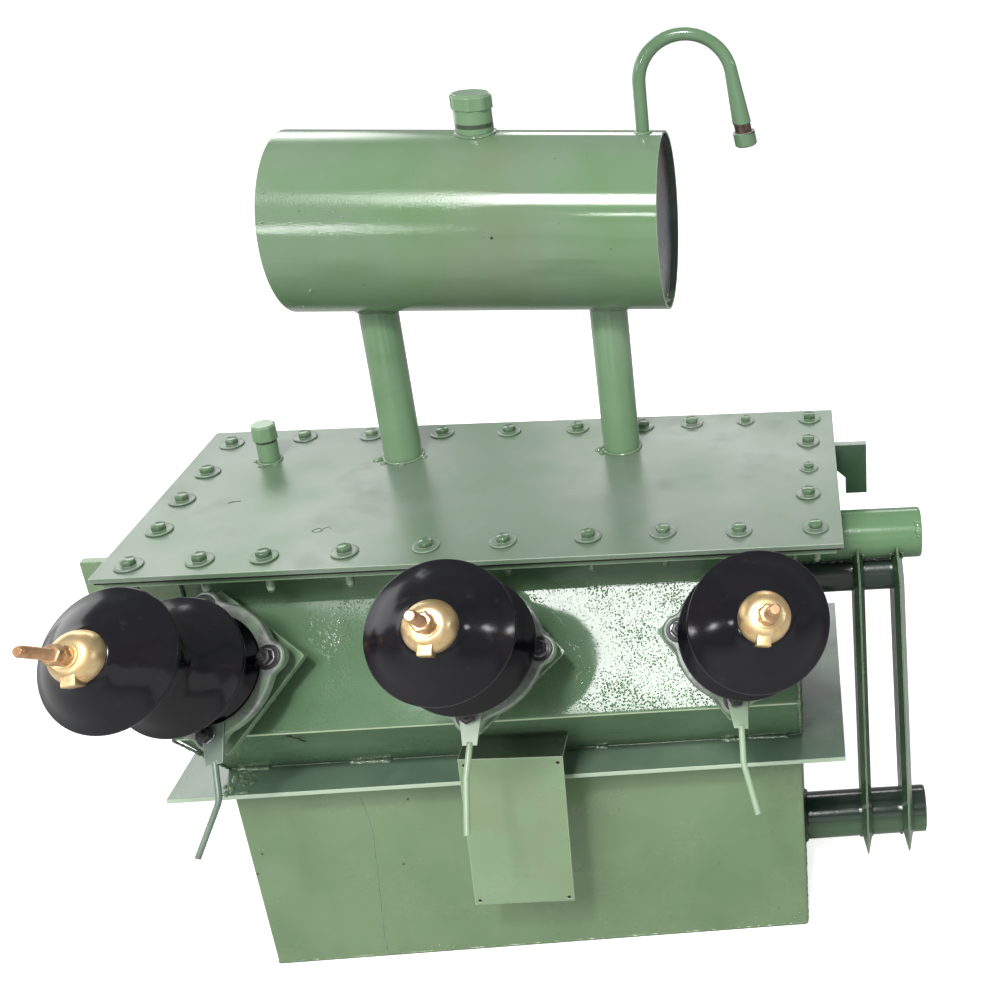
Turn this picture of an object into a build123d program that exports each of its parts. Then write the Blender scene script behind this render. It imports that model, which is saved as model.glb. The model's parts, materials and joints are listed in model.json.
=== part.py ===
from build123d import *
import math
import os

# Oil-filled distribution transformer with a bolted cover, a conservator and a two-fin radiator.
# Millimetres. The origin is the centre of the tank's bottom face, +Z is up, the high-voltage
# bushings look along -Y and the radiator stands on the +X wall.

# Lower tank, and the ledge plate that joins it to the upper tank
tank_length = 730.0
tank_depth = 262.0
tank_corner_radius = 4.0
lower_tank_height = 333.0
lower_tank_left_step = 3.0
ledge_length = 845.0
ledge_depth = 360.0
ledge_thickness = 6.0

# Upper tank: a box whose front wall folds out into a slanted pocket for the bushings
upper_tank_height = 325.0
straight_wall_height = 71.0
pocket_lip_height = 130.0
pocket_reach = 101.0
pocket_foot_reach = -3.0
pocket_plate_edge = 5.0
pocket_edge_setback = 2.5
pocket_fold_radius = 15.0
pocket_lip_radius = 4.0

# Bolted cover joint
cover_length = 850.0
cover_depth = 373.0
cover_thickness = 6.0
cover_offset_y = -13.0
gasket_thickness = 4.0
gasket_setback = 3.0
gasket_width = 44.0
flange_thickness = 8.0
flange_setback = 8.5

# Thermometer pocket on the cover
pocket_x = -323.0
pocket_y = 82.0
pocket_pipe_diameter = 26.0
pocket_pipe_height = 33.0
pocket_cap_across_flats = 29.5
pocket_cap_corner_trim = 0.7
pocket_cap_height = 21.0
pocket_cap_edge = 2.0

# Conservator drum, which slopes and turns a little as it was welded
drum_diameter = 225.0
drum_wall = 3.0
drum_left_x = -237.5
drum_right_x = 221.5
drum_y = 87.0
drum_z = 994.7
drum_slope = -0.0122
drum_turn = -0.0318
drum_end_recess = 9.0
drum_end_thickness = 4.0

# Pipe legs that carry the drum
leg_diameter = 48.3
leg_wall = 3.2
leg_left_x = -151.0
leg_right_x = 136.5
leg_y = 80.0

# Oil filler on top of the drum
filler_x = -3.0
filler_diameter = 45.0
filler_height = 1137.5
filler_wall = 3.0
filler_cap_across_flats = 47.0
filler_cap_height = 18.0
filler_cap_corner_trim = 1.0
filler_cap_edge = 3.0

# Breather gooseneck
breather_x = 199.0
breather_diameter = 16.0
breather_rise_radius = 59.0
breather_fall_radius = 53.0
breather_straight_top = 1164.2
breather_end_tilt = 8.85
breather_end_z = 1115.0
breather_end_diameter = 23.0
breather_nipple_diameter = 21.0
breather_nipple_length = 11.0
breather_cap_diameter = 27.5
breather_cap_length = 18.0
breather_cap_edge = 2.0

# High-voltage bushings: one row of values for each, and the sizes that they share
hv_bushings = {
    "left": {"foot_x": -tank_length / 2 + 67.0, "foot_drop": 5.8, "azimuth": -11.3, "elevation": 39.7, "neck": 62.8,
             "ring_turn": 14.9, "horn_plate_x": 6.0, "horn_foot": 20.0, "horn_points": [(6.5, -107.0), (10.0, -147.0), (-17.0, -204.0)]},
    "centre": {"foot_x": -4.3, "foot_drop": 5.8, "azimuth": 3.3, "elevation": 41.5, "neck": 102.9,
               "ring_turn": -4.1, "horn_plate_x": 1.5, "horn_foot": 16.0, "horn_points": [(3.5, -105.0), (2.0, -140.0), (7.5, -200.0)]},
    "right": {"foot_x": tank_length / 2 - 78.1, "foot_drop": 0.3, "azimuth": 11.6, "elevation": 38.6, "neck": 99.3,
              "ring_turn": -14.0, "horn_plate_x": -1.0, "horn_foot": 16.0, "horn_points": [(9.0, -105.0), (15.0, -142.0), (37.0, -197.0)]},
}
turret_diameter = 104.0
turret_sink = 14.0
seat_plate_side = 137.0
seat_plate_thickness = 8.0
seat_plate_corner = 3.0
seat_to_ring = 34.3
clamp_radius = 77.5
clamp_lobe_centre = 73.0
clamp_lobe_radius = 18.0
clamp_lobe_fillet = 14.0
clamp_edge_chamfer = 2.0
clamp_thickness = 11.3
clamp_bore_clearance = 0.5
foot_radius = 63.0
foot_shoulder_height = 12.0
neck_radius = 50.0
core_radius = 34.0
rear_shed_radius = 77.2
rear_shed_height = 57.8
front_shed_radius = 75.0
front_shed_height = 170.7
shed_rim_thickness = 7.0
shed_rim_edge = 2.0
shed_rise = 30.0
rear_shed_underside = 12.0
front_shed_underside = 10.0
root_flare = 8.0
root_blend_height = 14.0
crown_radius = 26.0
crown_edge = 8.0
crown_height = 208.7
cap_radius = 27.0
cap_skirt_height = 3.0
cap_height = 22.0
cap_top_radius = 15.0
cap_dome_steps = 5
cap_lug_side = 16.0
cap_lug_reach = 31.0
cap_lug_thickness = 18.0
stud_diameter = 12.0
stud_tip_chamfer = 1.5
stud_height = 294.8
nut_across_flats = 19.0
nut_height = 10.0
terminal_washer_radius = 13.0
terminal_washer_thickness = 2.5
horn_plate_top = 27.0
horn_plate_thickness = 3.0
horn_rod_diameter = 7.0
horn_rod_lap = 3.0
horn_bend_radius = 25.0

# Low-voltage bushings on the back wall
lv_spacing = 130.0
lv_height = 186.0
lv_count = 4
lv_base_radius = 32.0
lv_base_height = 14.0
lv_base_flare = 5.0
lv_core_radius = 19.0
lv_shed_radius = 29.0
lv_shed_rim = 4.0
lv_shed_slope = 9.0
lv_shed_height = 38.0
lv_length = 72.0
lv_stud_diameter = 12.0
lv_stud_length = 52.0

# Radiator on the right wall
header_diameter = 68.0
header_end_radius = 4.0
header_end_steps = 3
top_header_drop = 97.0
top_header_end_x = 537.0
bottom_header_z = 82.0
bottom_header_end_x = 547.0
under_pipe_diameter = 52.0
under_pipe_sink = 1.0
under_pipe_end_x = 505.0
fin_depth = 160.0
fin_thickness = 14.5
fin_seam_thickness = 2.0
fin_bevel = 26.0
fin_neck_half_depth = 30.0
fin_shoulder_drop = 26.0
fin_foot_drop = 25.0
fin_foot_rise = 24.0
fin_foot_half_depth = 62.0
fin_flute_radius = 9.0
fin_flute_depth = 2.2
fin_flute_spacing = 30.0
fin_flute_margin = 75.0
fin_flute_count = 3
fin_places = {"inner": {"top_x": 449.0, "bottom_x": 456.5}, "outer": {"top_x": 502.0, "bottom_x": 517.0}}

# Lifting lugs: hook plates welded to the end walls under the flange
lug_reach = 105.0
lug_thickness = 10.0
lug_height = 77.0
lug_prong_width = 30.0
lug_root_width = 36.0
lug_root_height = 70.0
lug_arm_height = 40.0
lug_slot_chamfer = 12.0
lug_right_y = 100.0
lug_left_y = -126.0

# Bare bracket for a rating plate
bracket_width = 125.0
bracket_height = 235.0
bracket_top_z = 408.0
bracket_centre_x = 11.5
bracket_front_y = -225.0
bracket_thickness = 3.0
bracket_lean = 2.2
bracket_hole_diameter = 5.0
bracket_hole_inset = 6.5
bracket_drill_length = 12.0

# Drain stub on the left wall
drain_y = 40.0
drain_z = 45.0
drain_pipe_diameter = 27.0
drain_pipe_length = 32.0
drain_cap_across_flats = 36.0
drain_cap_length = 18.0

# Heights that follow from the sizes above
ledge_top = lower_tank_height + ledge_thickness
tank_top = ledge_top + upper_tank_height
top_header_z = tank_top - top_header_drop
flange_bottom = tank_top - flange_thickness
gasket_top = tank_top + gasket_thickness
cover_top = gasket_top + cover_thickness
wall_x = tank_length / 2
lower_tank_left_x = -wall_x - lower_tank_left_step
wall_y = tank_depth / 2
bend_z = tank_top - straight_wall_height
lip_z = ledge_top + pocket_lip_height
lip_y = -wall_y - pocket_reach
slant_angle = math.degrees(math.atan2(pocket_reach, bend_z - lip_z))


def box_between(low, high):
    """A box from its lowest to its highest corner."""
    size = [b - a for a, b in zip(low, high)]
    centre = [(a + b) / 2 for a, b in zip(low, high)]
    return Pos(*centre) * Box(*size)


def rod_along(plane, radius, start, length):
    """A cylinder on a plane's normal, from a height above the plane."""
    return plane.offset(start) * Cylinder(radius, length, align=(Align.CENTER, Align.CENTER, Align.MIN))


def prism_along(plane, sides, across_flats, start, length):
    """A prism with so many flats on a plane's normal."""
    corner_radius = across_flats / 2 / math.cos(math.pi / sides)
    outline = RegularPolygon(corner_radius, sides)
    return extrude(plane.offset(start) * outline, length)


def turned(plane, points):
    """A closed outline of radius and height turned about a plane's normal."""
    outline = make_face(Polyline(*points, close=True))
    upright = Plane(origin=plane.origin, x_dir=plane.x_dir, z_dir=-plane.y_dir)
    return revolve(upright * outline, Axis(plane.origin, plane.z_dir))


def make_lower_tank():
    tank = box_between((lower_tank_left_x, -wall_y, 0), (wall_x, wall_y, lower_tank_height))
    return fillet(tank.edges().filter_by(Axis.Z), tank_corner_radius)


def make_ledge():
    low = (-ledge_length / 2, -ledge_depth / 2, lower_tank_height)
    return box_between(low, (ledge_length / 2, ledge_depth / 2, ledge_top))


def make_upper_tank():
    across = math.radians(slant_angle)
    edge_y = lip_y + pocket_plate_edge * math.cos(across)
    edge_z = lip_z - pocket_plate_edge * math.sin(across)
    profile = Polyline(
        (wall_y, ledge_top),
        (wall_y, tank_top),
        (-wall_y, tank_top),
        (-wall_y, bend_z),
        (lip_y, lip_z),
        (edge_y, edge_z),
        (edge_y + pocket_edge_setback, edge_z + pocket_edge_setback * math.tan(across) / 2),
        (-wall_y - pocket_foot_reach, ledge_top),
        close=True,
    )
    section = make_face(profile)
    for y, z, radius in ((-wall_y, bend_z, pocket_fold_radius), (lip_y, lip_z, pocket_lip_radius)):
        corner = section.vertices().sort_by_distance((y, z, 0))[0]
        section = fillet(corner, radius)
    side = Plane(origin=(-wall_x, 0, 0), x_dir=(0, 1, 0), z_dir=(1, 0, 0))
    return extrude(side * section, tank_length)


def cover_frame(setback, bottom, top, opening_length, opening_depth):
    """A rectangular ring under the cover, set in from the cover's edge."""
    half_x = cover_length / 2 - setback
    half_y = cover_depth / 2 - setback
    outer = box_between((-half_x, cover_offset_y - half_y, bottom), (half_x, cover_offset_y + half_y, top))
    inner = Pos(0, 0, (bottom + top) / 2) * Box(opening_length, opening_depth, 2 * (top - bottom))
    return outer - inner


def make_gasket():
    half_x = cover_length / 2 - gasket_setback
    half_y = cover_depth / 2 - gasket_setback
    outer = box_between((-half_x, cover_offset_y - half_y, tank_top), (half_x, cover_offset_y + half_y, gasket_top))
    hole_x = half_x - gasket_width
    hole_y = half_y - gasket_width
    hole = Pos(0, cover_offset_y, tank_top) * Box(2 * hole_x, 2 * hole_y, 4 * gasket_thickness)
    return outer - hole


def make_cover():
    half_x = cover_length / 2
    half_y = cover_depth / 2
    return box_between((-half_x, cover_offset_y - half_y, gasket_top), (half_x, cover_offset_y + half_y, cover_top))


def make_thermometer_pocket():
    base = Plane((pocket_x, pocket_y, cover_top))
    pipe = rod_along(base, pocket_pipe_diameter / 2, 0, pocket_pipe_height)
    cap_radius_over_corners = pocket_cap_across_flats / 2 + pocket_cap_corner_trim
    cap = prism_along(base, 8, pocket_cap_across_flats, pocket_pipe_height, pocket_cap_height)
    cap = cap & rod_along(base, cap_radius_over_corners, pocket_pipe_height, pocket_cap_height)
    cap = chamfer(cap.faces().sort_by(Axis.Z)[-1].edges(), pocket_cap_edge)
    return pipe, cap


def drum_plane():
    """The plane at the drum's left end, with its normal along the drum."""
    y = drum_y + drum_turn * drum_left_x
    z = drum_z + drum_slope * drum_left_x
    return Plane(origin=(drum_left_x, y, z), z_dir=(1, drum_turn, drum_slope))


def drum_length():
    return (drum_right_x - drum_left_x) * math.sqrt(1 + drum_turn**2 + drum_slope**2)


def drum_axis_at(x):
    """Y and Z of the drum's axis at a given X."""
    return drum_y + drum_turn * x, drum_z + drum_slope * x


def make_drum():
    base = drum_plane()
    radius = drum_diameter / 2
    outside = rod_along(base, radius, 0, drum_length())
    shell = outside - rod_along(base, radius - drum_wall, 0, drum_length())
    left_end = rod_along(base, radius - drum_wall, drum_end_recess, drum_end_thickness)
    right_start = drum_length() - drum_end_recess - drum_end_thickness
    right_end = rod_along(base, radius - drum_wall, right_start, drum_end_thickness)
    return outside, shell, left_end, right_end


def make_leg(x, drum):
    base = Plane((x, leg_y, cover_top))
    reach = drum_z - cover_top
    pipe = rod_along(base, leg_diameter / 2, 0, reach)
    bore = rod_along(base, leg_diameter / 2 - leg_wall, 0, reach)
    return pipe - bore - drum


def make_filler(drum):
    y, z = drum_axis_at(filler_x)
    base = Plane((filler_x, y, z))
    height = filler_height - z
    neck = rod_along(base, filler_diameter / 2, 0, height)
    neck = neck - rod_along(base, filler_diameter / 2 - filler_wall, 0, height) - drum
    cap = prism_along(base, 8, filler_cap_across_flats, height, filler_cap_height)
    cap = cap & rod_along(base, filler_cap_across_flats / 2 + filler_cap_corner_trim, height, filler_cap_height)
    cap = chamfer(cap.faces().sort_by(Axis.Z)[-1].edges(), filler_cap_edge)
    return neck, cap


def make_breather(drum):
    y, z = drum_axis_at(breather_x)
    tilt = math.radians(breather_end_tilt)
    start = Vector(breather_x, y, z + drum_diameter / 4)
    knee = Vector(breather_x, y, breather_straight_top)
    crown = knee + Vector(breather_rise_radius, 0, breather_rise_radius)
    turn_end = crown + Vector(math.cos(tilt), 0, math.sin(tilt) - 1) * breather_fall_radius
    down = Vector(math.sin(tilt), 0, -math.cos(tilt))
    rising = Line(start, knee)
    first_bend = TangentArc(knee, crown, tangent=(0, 0, 1))
    second_bend = TangentArc(crown, turn_end, tangent=(1, 0, 0))
    route = Wire([rising, first_bend, second_bend])
    pipe = sweep(Plane(start) * Circle(breather_diameter / 2), path=route)
    outlet = Plane(origin=turn_end, x_dir=(0, 1, 0), z_dir=down)
    fall = (turn_end.Z - breather_end_z) / math.cos(tilt)
    cap_start = fall + breather_nipple_length
    funnel_points = [(0, 0), (breather_diameter / 2, 0), (breather_end_diameter / 2, fall), (0, fall)]
    funnel = turned(outlet, funnel_points)
    nipple = rod_along(outlet, breather_nipple_diameter / 2, fall, breather_nipple_length)
    cap = rod_along(outlet, breather_cap_diameter / 2, cap_start, breather_cap_length)
    cap = chamfer(cap.edges().sort_by(Axis.Z)[0], breather_cap_edge)
    return pipe - drum + funnel + nipple, cap


def bushing_plane(place):
    """The clamp ring's front plane for one high-voltage bushing, its normal along the bushing."""
    azimuth = math.radians(place["azimuth"])
    elevation = math.radians(place["elevation"])
    flat = math.cos(elevation)
    along = Vector(math.sin(azimuth) * flat, -math.cos(azimuth) * flat, math.sin(elevation))
    slant = math.radians(slant_angle)
    foot_y = (lip_y - wall_y) / 2 - place["foot_drop"] * math.sin(slant)
    foot_z = (lip_z + bend_z) / 2 - place["foot_drop"] * math.cos(slant)
    foot = Vector(place["foot_x"], foot_y, foot_z)
    across = Vector(math.cos(azimuth), math.sin(azimuth), 0)
    across = across.rotate(Axis((0, 0, 0), along), place["ring_turn"])
    return Plane(origin=foot + along * place["neck"], x_dir=across, z_dir=along)


def make_seat(plane, place, upper_tank):
    """The turret pipe on the slanted face and the diamond plate on its end."""
    plate_back = -seat_to_ring - seat_plate_thickness
    sunk_start = -place["neck"] - turret_sink
    turret = rod_along(plane, turret_diameter / 2, sunk_start, plate_back - sunk_start)
    diamond = Rot(0, 0, 45) * RectangleRounded(seat_plate_side, seat_plate_side, seat_plate_corner)
    plate = extrude(plane.offset(plate_back) * diamond, seat_plate_thickness)
    return turret - upper_tank + plate


def make_clamp_ring(plane):
    """The cast ring with four bolt lobes that holds the porcelain's foot."""
    outline = Sketch() + Circle(clamp_radius)
    for quarter in range(4):
        outline += Rot(0, 0, 90 * quarter) * Pos(clamp_lobe_centre, 0) * Circle(clamp_lobe_radius)
    outline = fillet(outline.vertices(), clamp_lobe_fillet)
    outline -= Circle(foot_radius + clamp_bore_clearance)
    ring = extrude(plane.offset(-clamp_thickness) * outline, clamp_thickness)
    front = ring.faces().sort_by(Axis(plane.origin, plane.z_dir))[-1]
    return chamfer(front.outer_wire().edges(), clamp_edge_chamfer)


def shed_outline(rim_radius, rim_top, stem_radius, underside):
    """One shed's hollowed underside and rounded rim, from its stem outwards."""
    rim_bottom = rim_top - shed_rim_thickness
    return [
        (stem_radius, rim_bottom - underside),
        (rim_radius - shed_rim_edge, rim_bottom),
        (rim_radius, rim_bottom + shed_rim_thickness / 2),
        (rim_radius - shed_rim_edge, rim_top),
    ]


def make_porcelain(plane):
    """The foot under the clamp ring, two sheds and the crown, turned in one piece."""
    root = rear_shed_height + shed_rise
    points = [
        (0, -seat_to_ring),
        (foot_radius, -seat_to_ring),
        (foot_radius, 0),
        (neck_radius, foot_shoulder_height),
        *shed_outline(rear_shed_radius, rear_shed_height, neck_radius, rear_shed_underside),
        (core_radius + root_flare, root - root_blend_height / 2),
        (core_radius, root + root_blend_height / 2),
        *shed_outline(front_shed_radius, front_shed_height, core_radius, front_shed_underside),
        (crown_radius + crown_edge, crown_height - crown_edge),
        (crown_radius, crown_height),
        (0, crown_height),
    ]
    return turned(plane, points)


def make_cap(plane):
    """The brass cap on the porcelain's crown, with a square lug on its lower side."""
    top = crown_height + cap_height
    skirt_top = crown_height + cap_skirt_height
    points = [(0, crown_height), (cap_radius, crown_height), (cap_radius, skirt_top)]
    for step in range(1, cap_dome_steps + 1):
        turn = math.pi / 2 * step / cap_dome_steps
        radius = cap_top_radius + (cap_radius - cap_top_radius) * math.cos(turn)
        points.append((radius, skirt_top + (cap_height - cap_skirt_height) * math.sin(turn)))
    points.append((0, top))
    dome = turned(plane, points)
    lug_plane = plane.offset(crown_height + cap_height / 2)
    lug = lug_plane * Pos(0, -cap_lug_reach / 2, 0) * Box(cap_lug_side, cap_lug_reach, cap_lug_thickness)
    return dome + lug


def make_stud(plane):
    """The terminal stud with its washer and two nuts."""
    top = crown_height + cap_height
    stud = rod_along(plane, stud_diameter / 2, top, stud_height - top)
    stud = chamfer(stud.edges().sort_by(Axis(plane.origin, plane.z_dir))[-1], stud_tip_chamfer)
    washer = rod_along(plane, terminal_washer_radius, top, terminal_washer_thickness)
    lower = prism_along(plane, 6, nut_across_flats, top + terminal_washer_thickness, nut_height)
    upper = prism_along(plane, 6, nut_across_flats, top + terminal_washer_thickness + nut_height, nut_height)
    return stud + washer + lower + upper


def make_horn(plane, place):
    """The arcing horn: a tapered plate on the bottom lobe and a bent rod."""
    plate_x = place["horn_plate_x"]
    rod_start, rod_bend, rod_end = place["horn_points"]
    outline = make_face(Polyline(
        (plate_x - horn_plate_top / 2, -foot_radius),
        (plate_x + horn_plate_top / 2, -foot_radius),
        (rod_start[0] + place["horn_foot"] / 2, rod_start[1]),
        (rod_start[0] - place["horn_foot"] / 2, rod_start[1]),
        close=True,
    ))
    outline -= Circle(foot_radius + clamp_bore_clearance)
    plate = extrude(plane * outline, horn_plate_thickness)
    height = horn_plate_thickness / 2
    start = (rod_start[0], rod_start[1] + horn_rod_lap, height)
    route = FilletPolyline(start, (*rod_bend, height), (*rod_end, height), radius=horn_bend_radius)
    rod = sweep(Plane(origin=start, z_dir=route % 0) * Circle(horn_rod_diameter / 2), path=route)
    return plate + plane * rod


def make_lv_bushings():
    porcelains = []
    studs = []
    for index in range(lv_count):
        x = (index - (lv_count - 1) / 2) * lv_spacing
        plane = Plane(origin=(x, wall_y, ledge_top + lv_height), x_dir=(1, 0, 0), z_dir=(0, 1, 0))
        points = [
            (0, 0),
            (lv_base_radius, 0),
            (lv_base_radius, lv_base_height - lv_base_flare),
            (lv_core_radius, lv_base_height),
            (lv_core_radius, lv_shed_height - 2 * lv_shed_rim),
            (lv_shed_radius, lv_shed_height - lv_shed_rim),
            (lv_shed_radius, lv_shed_height),
            (lv_core_radius, lv_shed_height + lv_shed_slope),
            (lv_core_radius, lv_length),
            (0, lv_length),
        ]
        porcelains.append(turned(plane, points))
        stud = rod_along(plane, lv_stud_diameter / 2, lv_length, lv_stud_length)
        nut = prism_along(plane, 6, nut_across_flats, lv_length, nut_height)
        studs.append(stud + nut)
    return Compound(porcelains), Compound(studs)


def header(end_x, z):
    """One radiator header: a capped pipe straight out of the right wall, its end's corner rounded."""
    plane = Plane(origin=(wall_x, 0, z), x_dir=(0, 1, 0), z_dir=(1, 0, 0))
    radius = header_diameter / 2
    length = end_x - wall_x
    points = [(0, 0), (radius, 0)]
    for step in range(header_end_steps + 1):
        turn = math.pi / 2 * step / header_end_steps
        across = radius - header_end_radius + header_end_radius * math.cos(turn)
        points.append((across, length - header_end_radius + header_end_radius * math.sin(turn)))
    points.append((0, length))
    return turned(plane, points)


def under_pipe():
    """The short pipe welded along the underside of the top header, from the wall to the outer fin."""
    drop = header_diameter / 2 + under_pipe_diameter / 2 - under_pipe_sink
    plane = Plane(origin=(wall_x, 0, top_header_z - drop), x_dir=(0, 1, 0), z_dir=(1, 0, 0))
    return rod_along(plane, under_pipe_diameter / 2, 0, under_pipe_end_x - wall_x)


def fin_outline(inset):
    """The fin's outline in Y and Z, offset inwards."""
    half = fin_depth / 2
    top = top_header_z
    foot = bottom_header_z - fin_foot_drop
    points = [
        (-fin_neck_half_depth, top),
        (-half, top - fin_shoulder_drop),
        (-half, foot + fin_foot_rise),
        (-fin_foot_half_depth, foot),
        (fin_foot_half_depth, foot),
        (half, foot + fin_foot_rise),
        (half, top - fin_shoulder_drop),
        (fin_neck_half_depth, top),
    ]
    face = make_face(Polyline(*points, close=True))
    if inset:
        face = offset(face, -inset, kind=Kind.INTERSECTION)
    return face


def make_fin(place, headers):
    """A pressed fin: two dished sheets seamed round their edge, with upright flutes."""
    seam = fin_seam_thickness / 2
    crown = fin_thickness / 2
    upright = Plane(origin=(0, 0, 0), x_dir=(0, 1, 0), z_dir=(1, 0, 0))
    edge = extrude(upright.offset(-seam) * fin_outline(0), fin_seam_thickness)
    right = loft([upright.offset(seam) * fin_outline(0), upright.offset(crown) * fin_outline(fin_bevel)])
    left = mirror(right, Plane.YZ)
    fin = edge + right + left
    flute_length = top_header_z - bottom_header_z - 2 * fin_flute_margin
    middle = (top_header_z + bottom_header_z) / 2
    for index in range(fin_flute_count):
        y = (index - (fin_flute_count - 1) / 2) * fin_flute_spacing
        for sign in (-1, 1):
            x = sign * (crown + fin_flute_radius - fin_flute_depth)
            groove = Pos(x, y, middle) * Cylinder(fin_flute_radius, flute_length)
            fin = fin - groove
    lean = math.degrees(math.atan2(place["bottom_x"] - place["top_x"], top_header_z - bottom_header_z))
    fin = Pos(place["top_x"], 0, top_header_z) * Rot(0, -lean, 0) * Pos(0, 0, -top_header_z) * fin
    for pipe in headers:
        fin = fin - pipe
    return fin


def make_lug(side, y):
    """A lifting hook on an end wall: side is +1 for the right wall and -1 for the left."""
    top = flange_bottom
    root = wall_x
    tip = wall_x + lug_reach
    slot_start = root + lug_root_width
    slot_end = tip - lug_prong_width
    slot_top = top - lug_arm_height
    points = [
        (root, top),
        (tip, top),
        (tip, top - lug_height),
        (slot_end, top - lug_height),
        (slot_end, slot_top - lug_slot_chamfer),
        (slot_end - lug_slot_chamfer, slot_top),
        (slot_start + lug_slot_chamfer, slot_top),
        (slot_start, slot_top - lug_slot_chamfer),
        (slot_start, top - lug_root_height),
        (root, top - lug_root_height),
    ]
    outline = make_face(Polyline(*[(side * x, z) for x, z in points], close=True))
    plane = Plane(origin=(0, y + lug_thickness / 2, 0), x_dir=(1, 0, 0), z_dir=(0, -1, 0))
    return extrude(plane * outline, lug_thickness)


def make_bracket(upper_tank):
    """A folded strip: a shelf out of the pocket's underside and a face plate hanging from it."""
    half = bracket_width / 2
    back_y = bracket_front_y + bracket_thickness
    shelf = box_between((-half, bracket_front_y, bracket_top_z - bracket_thickness), (half, -wall_y, bracket_top_z))
    face_low = bracket_top_z - bracket_height
    face = box_between((-half, bracket_front_y, face_low), (half, back_y, bracket_top_z))
    bracket = shelf + face
    hole_x = half - bracket_hole_inset
    for x in (-hole_x, hole_x):
        for z in (bracket_top_z - bracket_hole_inset - bracket_thickness, face_low + bracket_hole_inset):
            hole = Pos(x, bracket_front_y, z) * Rot(90, 0, 0) * Cylinder(bracket_hole_diameter / 2, bracket_drill_length)
            bracket = bracket - hole
    lean = Pos(0, 0, bracket_top_z) * Rot(0, bracket_lean, 0) * Pos(0, 0, -bracket_top_z)
    return Pos(bracket_centre_x, 0, 0) * lean * bracket - upper_tank


def make_drain():
    plane = Plane(origin=(lower_tank_left_x, drain_y, drain_z), x_dir=(0, 1, 0), z_dir=(-1, 0, 0))
    pipe = rod_along(plane, drain_pipe_diameter / 2, 0, drain_pipe_length)
    cap = prism_along(plane, 6, drain_cap_across_flats, drain_pipe_length, drain_cap_length)
    return pipe + cap


def build_nodes():
    nodes = {}
    upper_tank = make_upper_tank()
    nodes["lower_tank"] = make_lower_tank()
    nodes["ledge_plate"] = make_ledge()
    nodes["upper_tank"] = upper_tank
    nodes["tank_flange"] = cover_frame(flange_setback, flange_bottom, tank_top, tank_length, tank_depth)
    nodes["cover_gasket"] = make_gasket()
    nodes["cover_plate"] = make_cover()
    nodes["thermometer_pocket"], nodes["thermometer_cap"] = make_thermometer_pocket()

    drum, nodes["conservator_drum"], nodes["conservator_end_left"], nodes["conservator_end_right"] = make_drum()
    nodes["conservator_leg_left"] = make_leg(leg_left_x, drum)
    nodes["conservator_leg_right"] = make_leg(leg_right_x, drum)
    nodes["filler_neck"], nodes["filler_cap"] = make_filler(drum)
    nodes["breather_pipe"], nodes["breather_cap"] = make_breather(drum)

    for name, place in hv_bushings.items():
        plane = bushing_plane(place)
        nodes["bushing_seat_" + name] = make_seat(plane, place, upper_tank)
        nodes["clamp_ring_" + name] = make_clamp_ring(plane)
        nodes["hv_porcelain_" + name] = make_porcelain(plane)
        nodes["hv_cap_" + name] = make_cap(plane)
        nodes["hv_stud_" + name] = make_stud(plane)
        nodes["arcing_horn_" + name] = make_horn(plane, place)
    nodes["lv_porcelains"], nodes["lv_studs"] = make_lv_bushings()

    top_header = header(top_header_end_x, top_header_z) + under_pipe()
    bottom_header = header(bottom_header_end_x, bottom_header_z)
    nodes["radiator_header_top"] = top_header
    nodes["radiator_header_bottom"] = bottom_header
    for name, place in fin_places.items():
        nodes["radiator_fin_" + name] = make_fin(place, (top_header, bottom_header))

    nodes["lifting_lug_right"] = make_lug(1, lug_right_y)
    nodes["lifting_lug_left"] = make_lug(-1, lug_left_y)
    nodes["plate_bracket"] = make_bracket(upper_tank)
    nodes["drain_stub"] = make_drain()
    return nodes


os.makedirs("parts", exist_ok=True)
for node, shape in build_nodes().items():
    export_step(shape, f"parts/{node}.step")
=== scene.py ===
import bpy
import json
import math
import random
from mathutils import Matrix, Vector


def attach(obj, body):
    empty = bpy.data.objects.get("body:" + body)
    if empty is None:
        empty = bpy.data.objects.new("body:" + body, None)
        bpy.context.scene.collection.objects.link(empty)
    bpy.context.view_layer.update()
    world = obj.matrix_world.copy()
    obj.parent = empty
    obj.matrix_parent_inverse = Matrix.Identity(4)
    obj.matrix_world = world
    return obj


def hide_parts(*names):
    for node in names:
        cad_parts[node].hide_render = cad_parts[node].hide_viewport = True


# Looks of the oil-filled transformer: enamel, porcelain, brass, fasteners, welds and wear.
# Metres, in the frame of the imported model: origin under the tank's middle, +Z up, -Y the front.

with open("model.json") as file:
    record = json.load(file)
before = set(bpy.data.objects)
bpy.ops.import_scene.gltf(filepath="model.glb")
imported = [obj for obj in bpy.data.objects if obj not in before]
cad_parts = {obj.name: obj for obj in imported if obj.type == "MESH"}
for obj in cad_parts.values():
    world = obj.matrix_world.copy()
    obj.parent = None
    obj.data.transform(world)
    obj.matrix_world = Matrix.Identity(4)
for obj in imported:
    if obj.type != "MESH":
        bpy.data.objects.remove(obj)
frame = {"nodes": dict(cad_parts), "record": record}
NODES = frame["nodes"]
MOUNTS = {mount["name"]: mount for mount in frame["record"]["mounts"]}
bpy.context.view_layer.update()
chance = random.Random(7)

# Camera, at the photograph's viewing angle
CAMERA_PLACE = (0.3783, -1.5384, 1.4830)
CAMERA_YAW = -0.1056
CAMERA_TILT = math.pi / 2 - 0.4207
CAMERA_ROLL = 0.0074
CAMERA_LENS = 46.98
CAMERA_SHIFT = (-0.434, -0.118)

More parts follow.
